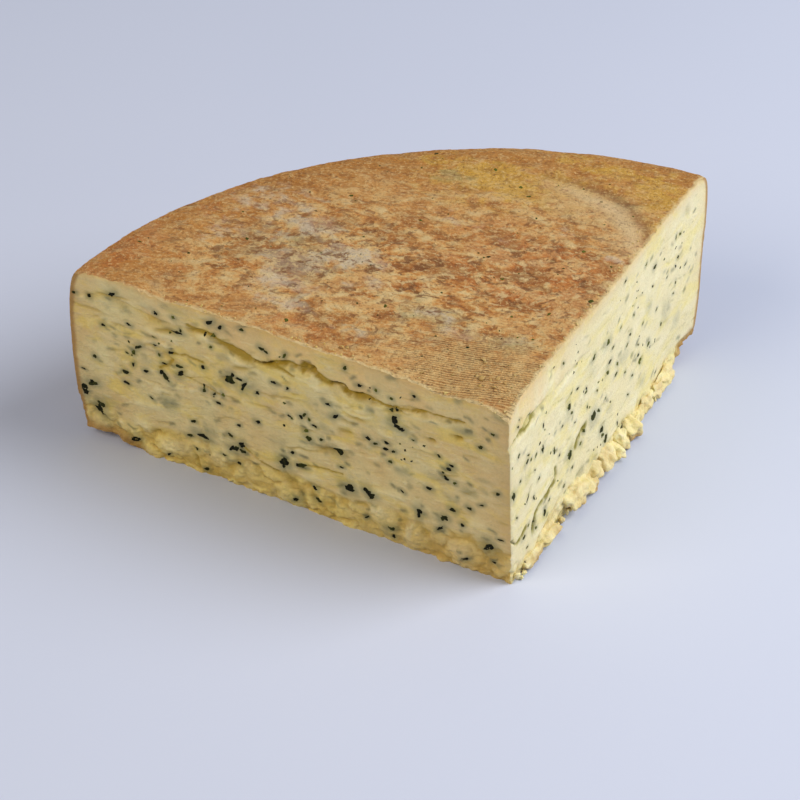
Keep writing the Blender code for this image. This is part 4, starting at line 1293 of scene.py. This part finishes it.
def scrap(draw, tree, x, y, size):
    """A thin curled scrap standing on the rind, in sketch millimetres."""
    ground = cast(tree, np.array([x, y, HEIGHT]), DOWN)
    if ground is None:
        return None
    heading = draw.uniform(0.0, 2.0 * pi)
    steps, across = SCRAP_STEPS, SCRAP_ACROSS
    way = np.array([cos(heading), sin(heading), 0.0])
    side = np.array([-sin(heading), cos(heading), 0.0])
    spot, angle, points = np.array(ground) / MM - SKETCH_SHIFT, draw.uniform(*SCRAP_START), []
    for step in range(steps):
        for half in (-1.0, 1.0):
            for share in np.linspace(-half, half, across):
                ragged = 1.0 + SCRAP_RAGGEDNESS * draw.uniform(-1, 1)
                width = size * SCRAP_WIDTH * ragged * (1.0 - SCRAP_TAPER * step / steps)
                across_it = np.array([-sin(angle) * way[0], -sin(angle) * way[1], cos(angle)])
                thick = SCRAP_HALF_THICKNESS * half * across_it
                points.append(spot + share * width * side + thick)
        spot = spot + size * SCRAP_LENGTH / steps * (cos(angle) * way + sin(angle) * UP)
        angle -= SCRAP_CURL * draw.uniform(0.5, 1.5) / steps * 2.0
    ring = 2 * across
    quads = []
    for step in range(steps - 1):
        for i in range(ring):
            j = (i + 1) % ring
            quads.append((step * ring + i, step * ring + j, (step + 1) * ring + j, (step + 1) * ring + i))
    triangles = [(a, b, c) for a, b, c, d in quads] + [(a, c, d) for a, b, c, d in quads]
    for start, flip in ((0, 1), ((steps - 1) * ring, -1)):
        for i in range(1, ring - 1):
            triangles.append((start, start + i + 1, start + i)[::flip])
    return np.array(points), np.array(triangles)


def loose_scraps(top, material):
    """Crumbs of paste strewn along the cuts' top edges, and a few curled scraps near the corner."""
    draw = np.random.default_rng(71)
    tree = tree_of(top)
    made = [entry for entry in (scrap(draw, tree, *spot) for spot in SCRAPS) if entry]
    scrap_points = sum(len(entry[0]) for entry in made)
    for _ in range(EDGE_CRUMBS):
        distance = draw.uniform(*EDGE_CRUMB_PLACE)
        back = EDGE_CRUMB_BACK + draw.exponential(EDGE_CRUMB_SPREAD)
        size = draw.uniform(*EDGE_CRUMB_SIZE)
        on_front = draw.uniform() < EDGE_CRUMBS_IN_FRONT
        direction = FRONT_DIRECTION if on_front else RIGHT_DIRECTION
        outward = FRONT_OUTWARD if on_front else RIGHT_OUTWARD
        x, y = distance * direction - back * outward
        ground = cast(tree, np.array([x, y, HEIGHT]), DOWN)
        if ground is not None:
            place = np.array(ground) / MM - SKETCH_SHIFT + np.array([0.0, 0.0, 0.12 * size])
            made.append(small_crumb(draw, place, size, 1))
    points, faces = join_lists([entry for entry in made if entry])
    attributes = {label: np.zeros(len(points)) for label in PASTE_LABELS}
    attributes["dry"] = np.full(len(points), 0.55)
    attributes["rind"] = 0.65 * (np.arange(len(points)) < scrap_points)
    mesh = mesh_from("loose_scraps", points, faces, attributes)
    return add_piece("loose_scraps", mesh, material, replaces=False)


# Casts onto a piece, and leaf flecks


def tree_of(piece):
    """What cast needs to find a piece's surface."""
    mesh = piece.data
    return BVHTree.FromPolygons([v.co for v in mesh.vertices], [p.vertices for p in mesh.polygons])


def cast(tree, point, direction):
    """Where a line through a sketch point along direction first meets a piece, in part metres, or None."""
    start = Vector(to_part(point)) - Vector(direction) * CAST_REACH
    hit, _, _, _ = tree.ray_cast(start, Vector(direction), 2.0 * CAST_REACH)
    return hit


def fleck(draw, tree, centre, across, up, inward, width, height, tilt, tone):
    """One leaf fleck: a low irregular dome whose edge is sunk in the surface."""
    turn = radians(-tilt)
    radii = 1.0 + draw.uniform(-FLECK_UNEVENNESS, FLECK_UNEVENNESS, FLECK_SIDES)
    radii = (1.0 - FLECK_SMOOTHING) * radii + FLECK_SMOOTHING * np.roll(radii, 1)
    points, tones = [], []
    for ring, (share, rise) in enumerate(FLECK_RINGS):
        for side in range(FLECK_SIDES if ring else 1):
            angle = 2.0 * pi * side / FLECK_SIDES
            u = share * radii[side] * 0.5 * width * cos(angle)
            v = share * radii[side] * 0.5 * height * sin(angle)
            u, v = u * cos(turn) - v * sin(turn), u * sin(turn) + v * cos(turn)
            hit = cast(tree, centre + u * across + v * up, inward)
            if hit is None:
                return None
            points.append(np.array(hit - Vector(inward) * rise * MM * min(1.0, width)))
            tones.append(tone + FLECK_TONE_CHANGE * draw.uniform(-1, 1))
    faces = [(0, 1 + i, 1 + (i + 1) % FLECK_SIDES) for i in range(FLECK_SIDES)]
    for ring in range(len(FLECK_RINGS) - 2):
        start = 1 + ring * FLECK_SIDES
        for i in range(FLECK_SIDES):
            j = (i + 1) % FLECK_SIDES
            faces.append((start + i, start + FLECK_SIDES + i, start + FLECK_SIDES + j))
            faces.append((start + i, start + FLECK_SIDES + j, start + j))
    return np.array(points), np.array(faces), np.array(tones)


def leaf_flecks(front, right, top, material):
    """The flecks of both cuts and of the top rind, as one piece."""
    draw = np.random.default_rng(41)
    made = []
    for piece, side, direction, inward in (
        (front, FRONT_SIDE, FRONT_DIRECTION, (0.0, 1.0, 0.0)),
        (right, RIGHT_SIDE, RIGHT_DIRECTION, (*(-RIGHT_OUTWARD), 0.0)),
    ):
        tree = tree_of(piece)
        across = np.array([*direction, 0.0])
        for distance, z, length, width, tilt, tone in fleck_list(side):
            centre = np.array([*corner_at(z), z]) + distance * across
            made.append(fleck(draw, tree, centre, across, UP, inward, length, width, tilt, tone))
    tree = tree_of(top)
    x_axis, y_axis = np.array([1.0, 0.0, 0.0]), np.array([0.0, 1.0, 0.0])
    places = [(x, y, TOP_FLECK_SIZE) for x, y in TOP_FLECKS]
    for _ in range(SCATTERED_TOP_FLECKS):
        left, back, size = (draw.uniform(low, high) for low, high in SCATTERED_TOP_RANGES)
        places.append((-left, back, size))
    for x, y, size in places:
        centre = np.array([x, y, HEIGHT])
        depth, tilt = size * draw.uniform(0.5, 1.2), draw.uniform(-90, 90)
        tone = draw.uniform(*TOP_FLECK_TONE)
        made.append(fleck(draw, tree, centre, x_axis, y_axis, DOWN, size, depth, tilt, tone))
    made = [entry for entry in made if entry]
    points, faces = join_lists([(entry[0], entry[1]) for entry in made])
    tones = np.concatenate([entry[2] for entry in made])
    mesh = mesh_from("leaf_flecks", points / MM - SKETCH_SHIFT, faces, {"tone": tones})
    return add_piece("leaf_flecks", mesh, material, replaces=False)


# Materials


def srgb(red, green, blue):
    """A colour given as it looks on a screen, from 0 to 255, as linear values."""
    values = np.array([red, green, blue]) / 255.0
    linear = np.where(values <= 0.04045, values / 12.92, ((values + 0.055) / 1.055) ** 2.4)
    return (*linear.tolist(), 1.0)


def add(tree, kind, inputs=(), **settings):
    """Adds a node. inputs are (socket, value or output) pairs."""
    made = tree.nodes.new(kind)
    for name, value in settings.items():
        setattr(made, name, value)
    for socket, value in inputs:
        if isinstance(value, bpy.types.NodeSocket):
            tree.links.new(value, made.inputs[socket])
        else:
            made.inputs[socket].default_value = value
    return made


def object_coordinates(tree, stretch=(1.0, 1.0, 1.0), turn=0.0):
    """The piece's own coordinates, turned about the vertical and then stretched."""
    coordinates = add(tree, "ShaderNodeTexCoord").outputs["Object"]
    turned = add(tree, "ShaderNodeMapping", [("Vector", coordinates), ("Rotation", (0.0, 0.0, -turn))])
    inputs = [("Vector", turned.outputs["Vector"]), ("Scale", stretch)]
    return add(tree, "ShaderNodeMapping", inputs).outputs["Vector"]


def noise_of(tree, vector, size, detail=3.0, roughness=0.55, distortion=0.0):
    """Noise with features of the given size in millimetres."""
    inputs = [("Vector", vector), ("Scale", 1.0 / (size * MM)), ("Detail", detail), ("Roughness", roughness)]
    inputs.append(("Distortion", distortion))
    return add(tree, "ShaderNodeTexNoise", inputs).outputs["Fac"]


def between(tree, value, low, high, first=0.0, last=1.0):
    inputs = [("Value", value), ("From Min", low), ("From Max", high), ("To Min", first), ("To Max", last)]
    return add(tree, "ShaderNodeMapRange", inputs).outputs["Result"]


def arithmetic(tree, operation, first, second):
    return add(tree, "ShaderNodeMath", [(0, first), (1, second)], operation=operation).outputs[0]


def stain(tree, label):
    return add(tree, "ShaderNodeAttribute", attribute_name=label).outputs["Fac"]


def mix(tree, factor, first, second, blend="MIX"):
    made = add(tree, "ShaderNodeMix", data_type="RGBA", blend_type=blend)
    for socket, value in ((0, factor), (6, first), (7, second)):
        if isinstance(value, bpy.types.NodeSocket):
            tree.links.new(value, made.inputs[socket])
        else:
            made.inputs[socket].default_value = value
    return made.outputs[2]


def bump(tree, height, distance, strength=1.0, normal=None):
    inputs = [("Height", height), ("Distance", distance * MM), ("Strength", strength)]
    if normal is not None:
        inputs.append(("Normal", normal))
    return add(tree, "ShaderNodeBump", inputs).outputs["Normal"]


def new_material(name):
    material = bpy.data.materials.new(name)
    material.use_nodes = True
    return material, material.node_tree, material.node_tree.nodes["Principled BSDF"]


def cloth_threads(tree):
    """Near-parallel ridges, a little wavy, from 0 in the furrows to 1 on the ridges."""
    coordinates = add(tree, "ShaderNodeTexCoord").outputs["Object"]
    turned = add(tree, "ShaderNodeMapping", [("Vector", coordinates), ("Rotation", (0, 0, -WEAVE_HEADING))])
    waviness = [("Distortion", 2.5), ("Detail", 2.0), ("Detail Scale", 0.35)]
    scale = 2.0 * pi / WAVE_TEXTURE_RATE / (WEAVE_PITCH * MM)
    inputs = [("Vector", turned.outputs["Vector"]), ("Scale", scale), *waviness]
    return add(tree, "ShaderNodeTexWave", inputs, bands_direction="Y").outputs["Fac"]


def tinted(tree, colour, tints):
    """Tints a colour where stain masks, painted shade and painted highlight lie. tints are (mask, strength,
    colour) entries, from the lowest up.
    """
    for label, strength, target in tints:
        colour = mix(tree, arithmetic(tree, "MULTIPLY", stain(tree, label), strength), colour, target)
    return colour


def ramp(tree, value, stops):
    """A smooth run of colours: stops are (position, colour) pairs."""
    made = add(tree, "ShaderNodeValToRGB", [(0, value)])
    elements = made.color_ramp.elements
    while len(elements) < len(stops):
        elements.new(0.5)
    for element, (position, colour) in zip(elements, stops):
        element.position = position
        element.color = colour
    return made.outputs["Color"]


def colour_shade(tree, colour, shade):
    """A colour made darker by a factor."""
    return mix(tree, 1.0, colour, (shade, shade, shade, 1.0), "MULTIPLY")


def paste_material(name, cream, tan, yellow, pale, olive, contrast):
    """Cut paste: mottled cream to tan, yellower where torn, olive in the slits, with buried leaves, painted
    shade in the creases, pits and split, and painted highlight on the ledge and raised flakes.
    """
    material, tree, shader = new_material(name)
    plain = object_coordinates(tree)
    pressed = object_coordinates(tree, (0.4, 0.4, 1.0))
    slow = noise_of(tree, plain, 18.0, 4.0)
    patchy = noise_of(tree, pressed, 7.0, 5.0, 0.6, 0.5)
    streaky = noise_of(tree, pressed, 2.2, 6.0, 0.65, 0.6)
    leafy = noise_of(tree, plain, 5.5, 5.0, 0.7, 0.4)
    grain = noise_of(tree, plain, 0.7, 4.0, 0.6)
    colour = mix(tree, between(tree, slow, 0.35, 0.66), cream, tan)
    colour = mix(tree, between(tree, patchy, 0.5, 0.36, 0.0, 0.8), colour, yellow)
    colour = mix(tree, between(tree, leafy, 0.53, 0.72, 0.0, 0.35 * contrast), colour, srgb(150, 144, 98))
    colour = mix(tree, between(tree, streaky, 0.53, 0.72, 0.0, 0.6 * contrast), colour, pale)
    streaks = between(tree, streaky, 0.45, 0.3, 0.0, 0.6 * contrast)
    colour = mix(tree, streaks, colour, colour_shade(tree, colour, 0.75))
    # Among these tints, crease and the crack mask are painted shade, and the ledge's share of torn and the
    # raised tops' share of pale are painted highlight.
    colour = tinted(tree, colour, (
        ("slab", 0.65, srgb(244, 206, 136)), ("torn", 0.8, yellow), ("pale", 0.7, pale),
        ("dry", 0.5, srgb(204, 162, 96)), ("crease", 0.5, srgb(180, 140, 44)),
        ("buried", 0.85, srgb(90, 102, 72)), ("ghost", 0.8, srgb(78, 86, 52)), ("olive", 0.95, olive),
        ("rind", 0.85, srgb(168, 122, 50)), ("crack_shade", 0.95, srgb(40, 32, 12)),
    ))
    colour = mix(tree, between(tree, grain, 0.3, 0.7, 0.4, 0.0), colour, colour_shade(tree, colour, 0.76))
    tree.links.new(colour, shader.inputs["Base Color"])
    tree.links.new(between(tree, streaky, 0.3, 0.7, 0.42, 0.62), shader.inputs["Roughness"])
    shader.inputs["Subsurface Weight"].default_value = 0.12
    shader.inputs["Subsurface Radius"].default_value = (1.0, 0.6, 0.25)
    shader.inputs["Subsurface Scale"].default_value = 1.2 * MM
    coarse = bump(tree, patchy, 0.6 * contrast)
    middle = bump(tree, streaky, 0.75 * contrast, normal=coarse)
    fine = bump(tree, grain, 0.25, normal=middle)
    tree.links.new(fine, shader.inputs["Normal"])
    return material


def rind_material():
    """Washed rind: a patchwork of tan, orange and brown flakes, with blooms, blotches and grain, and painted
    shade in its hollows.
    """
    material, tree, shader = new_material("rind")
    plain = object_coordinates(tree)
    drawn = object_coordinates(tree, (0.68, 1.0, 1.0), RIND_GRAIN)
    slow = noise_of(tree, plain, 22.0, 4.0)
    patches = noise_of(tree, drawn, 5.0, 7.0, 0.62, 0.4)
    dabs = noise_of(tree, drawn, 2.6, 5.0, 0.6, 0.5)
    hollows = noise_of(tree, drawn, 3.6, 5.0, 0.58, 0.6)
    speckle = noise_of(tree, plain, 1.0, 4.0, 0.65)
    grain = noise_of(tree, plain, 0.42, 3.0, 0.6)
    threads = arithmetic(tree, "MULTIPLY", cloth_threads(tree), stain(tree, "weave"))
    flaky = between(tree, stain(tree, "flaky"), 0.0, 1.0, 0.3, 1.0)
    base = mix(tree, between(tree, slow, 0.35, 0.65), srgb(218, 168, 100), srgb(210, 150, 78))
    patchwork = ramp(tree, patches, (
        (0.32, srgb(128, 76, 28)), (0.42, srgb(188, 114, 42)), (0.48, srgb(212, 145, 70)),
        (0.53, srgb(228, 174, 102)), (0.59, srgb(234, 198, 134)), (0.68, srgb(236, 214, 164)),
    ))
    colour = mix(tree, between(tree, stain(tree, "flaky"), 0.0, 1.0, 0.45, 0.95), base, patchwork)
    # Among these tints, hollow is painted shade in the low parts between flakes.
    colour = tinted(tree, colour, (
        ("band", 0.7, srgb(190, 124, 40)), ("gold", 0.8, srgb(222, 174, 66)),
        ("pale", 0.5, srgb(228, 194, 138)), ("red", 0.5, srgb(198, 110, 42)),
        ("green", 0.6, srgb(160, 152, 106)), ("bloom", 0.85, srgb(214, 204, 188)),
        ("flake", 0.3, srgb(232, 200, 140)), ("hollow", 0.55, srgb(140, 84, 32)),
    ))
    pale_dabs = arithmetic(tree, "MULTIPLY", between(tree, dabs, 0.54, 0.62, 0.0, 0.8), flaky)
    colour = mix(tree, pale_dabs, colour, srgb(234, 206, 150))
    # Dark brown streaks where the hollows noise is low, the parts its bump sinks: partly the rind's own dark
    # streaks and partly painted shade.
    dark_streaks_and_shade = arithmetic(tree, "MULTIPLY", between(tree, hollows, 0.45, 0.39, 0.0, 0.85), flaky)
    colour = mix(tree, dark_streaks_and_shade, colour, srgb(124, 74, 28))
    colour = tinted(tree, colour, (("ring", 0.7, srgb(146, 92, 30)), ("arc", 0.6, srgb(236, 210, 164))))
    furrows = arithmetic(tree, "SUBTRACT", stain(tree, "weave"), threads)
    colour = mix(tree, arithmetic(tree, "MULTIPLY", furrows, 0.4), colour, srgb(192, 128, 58))
    colour = mix(tree, arithmetic(tree, "MULTIPLY", threads, 0.8), colour, srgb(246, 208, 140))
    colour = mix(tree, between(tree, speckle, 0.54, 0.66, 0.0, 0.6), colour, srgb(236, 206, 146))
    colour = mix(tree, between(tree, speckle, 0.45, 0.33, 0.0, 0.65), colour, srgb(138, 86, 38))
    colour = tinted(tree, colour, (("edge", 0.85, srgb(238, 214, 158)),))
    colour = mix(tree, between(tree, grain, 0.3, 0.7, 0.45, 0.0), colour, colour_shade(tree, colour, 0.68))
    tree.links.new(colour, shader.inputs["Base Color"])
    tree.links.new(between(tree, speckle, 0.3, 0.7, 0.62, 0.86), shader.inputs["Roughness"])
    normal = bump(tree, patches, 1.1)
    for height, depth in (
        (hollows, 0.9), (dabs, 0.6), (speckle, 0.65), (grain, 0.4), (threads, WEAVE_DEPTH),
    ):
        normal = bump(tree, height, depth, normal=normal)
    tree.links.new(normal, shader.inputs["Normal"])
    return material


def leaf_material():
    """Chopped leaf: near-black to olive green, by the fleck."""
    material, tree, shader = new_material("leaf")
    plain = object_coordinates(tree)
    veins = noise_of(tree, plain, 0.5, 3.0)
    tone = stain(tree, "tone")
    colour = mix(tree, between(tree, tone, 0.3, 1.0), srgb(20, 21, 8), srgb(104, 108, 42))
    colour = mix(tree, between(tree, veins, 0.45, 0.7, 0.0, 0.5), colour, srgb(42, 46, 16))
    tree.links.new(colour, shader.inputs["Base Color"])
    tree.links.new(between(tree, veins, 0.3, 0.7, 0.6, 0.8), shader.inputs["Roughness"])
    shader.inputs["Specular IOR Level"].default_value = 0.1
    tree.links.new(bump(tree, veins, 0.1), shader.inputs["Normal"])
    return material


# Stage, light and camera


def floor_material():
    """Pale bluish cloth, a little uneven."""
    material, tree, shader = new_material("pale_floor")
    uneven = noise_of(tree, object_coordinates(tree), 240.0, 2.0)
    colour = mix(tree, uneven, srgb(199, 207, 230), srgb(205, 212, 234))
    tree.links.new(colour, shader.inputs["Base Color"])
    shader.inputs["Roughness"].default_value = 0.8
    return material


def make_stage():
    bm = bmesh.new()
    bmesh.ops.create_grid(bm, x_segments=1, y_segments=1, size=FLOOR_SIZE)
    mesh = bpy.data.meshes.new("floor")
    bm.to_mesh(mesh)
    bm.free()
    mesh.materials.append(floor_material())
    floor = bpy.data.objects.new("floor", mesh)
    bpy.context.scene.collection.objects.link(floor)


def area_light(name, place, size, power, colour):
    light = bpy.data.lights.new(name, "AREA")
    light.shape = "DISK"
    light.size = size
    light.energy = power
    light.color = colour
    lamp = bpy.data.objects.new(name, light)
    lamp.location = place
    lamp.rotation_euler = (-Vector(place)).to_track_quat("-Z", "Y").to_euler()
    bpy.context.scene.collection.objects.link(lamp)


def make_light():
    for lamp in LAMPS:
        area_light(*lamp)
    world = bpy.data.worlds.new("room")
    world.use_nodes = True
    background = world.node_tree.nodes["Background"]
    background.inputs["Color"].default_value = SKY
    background.inputs["Strength"].default_value = SKY_STRENGTH
    bpy.context.scene.world = world
    bpy.context.scene.view_settings.view_transform = "Standard"


def make_camera():
    camera = bpy.data.cameras.new("camera")
    camera.lens = CAMERA_LENS
    camera.sensor_width = CAMERA_SENSOR
    camera.clip_start = 0.01
    heading, pitch = CAMERA_HEADING, CAMERA_PITCH
    forward = Vector((sin(heading) * cos(pitch), cos(heading) * cos(pitch), -sin(pitch)))
    level_right = Vector((cos(heading), -sin(heading), 0.0))
    level_up = level_right.cross(forward)
    right = cos(CAMERA_ROLL) * level_right + sin(CAMERA_ROLL) * level_up
    up = -sin(CAMERA_ROLL) * level_right + cos(CAMERA_ROLL) * level_up
    holder = bpy.data.objects.new("camera", camera)
    turned = Matrix((right, up, -forward)).transposed().to_4x4()
    holder.matrix_world = Matrix.Translation(CAMERA_PLACE) @ turned
    bpy.context.scene.collection.objects.link(holder)
    bpy.context.scene.camera = holder


def main():
    # The cuts get two copies of one paste. The front copy is darker, yellower and more strongly patterned, as
    # painted shade for the front face, and the right copy is paler, as painted light for the lit right face.
    # The foot crumbs take the lit copy and the loose scraps the shaded one.
    paste_front_painted_shade = paste_material(
        "paste_front_painted_shade", srgb(230, 212, 150), srgb(228, 197, 130), srgb(240, 211, 106), srgb(250, 236, 180),
        srgb(172, 140, 10), 0.8,
    )
    paste_right_painted_light = paste_material(
        "paste_right_painted_light", srgb(242, 231, 186), srgb(240, 226, 174), srgb(243, 227, 148), srgb(252, 243, 204),
        srgb(136, 126, 0), 0.4,
    )
    rind = rind_material()
    shares = graded(CUT_LENGTH, (0.0, CUT_LENGTH)) / CUT_LENGTH
    levels = graded(HEIGHT, (0.0, SPLIT_LEVEL, HEIGHT), LEVEL_STEP)
    front = cut_patch("paste_front_painted_shade", shares, levels, "front", paste_front_painted_shade)
    right = cut_patch("paste_right_painted_light", shares, levels, "right", paste_right_painted_light)
    top = top_patch(shares, rind)
    rim_patch(shares, levels, rind)
    foot_patch(shares, rind)
    foot_crumbs(paste_right_painted_light)
    loose_scraps(top, paste_front_painted_shade)
    leaf_flecks(front, right, top, leaf_material())
    make_stage()
    make_light()
    make_camera()


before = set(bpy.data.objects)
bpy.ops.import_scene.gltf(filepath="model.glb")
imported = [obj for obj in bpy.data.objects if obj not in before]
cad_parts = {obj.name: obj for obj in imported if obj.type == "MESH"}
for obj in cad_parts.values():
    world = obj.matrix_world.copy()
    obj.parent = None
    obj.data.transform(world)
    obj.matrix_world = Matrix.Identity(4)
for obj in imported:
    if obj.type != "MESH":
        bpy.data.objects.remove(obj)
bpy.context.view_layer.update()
main()
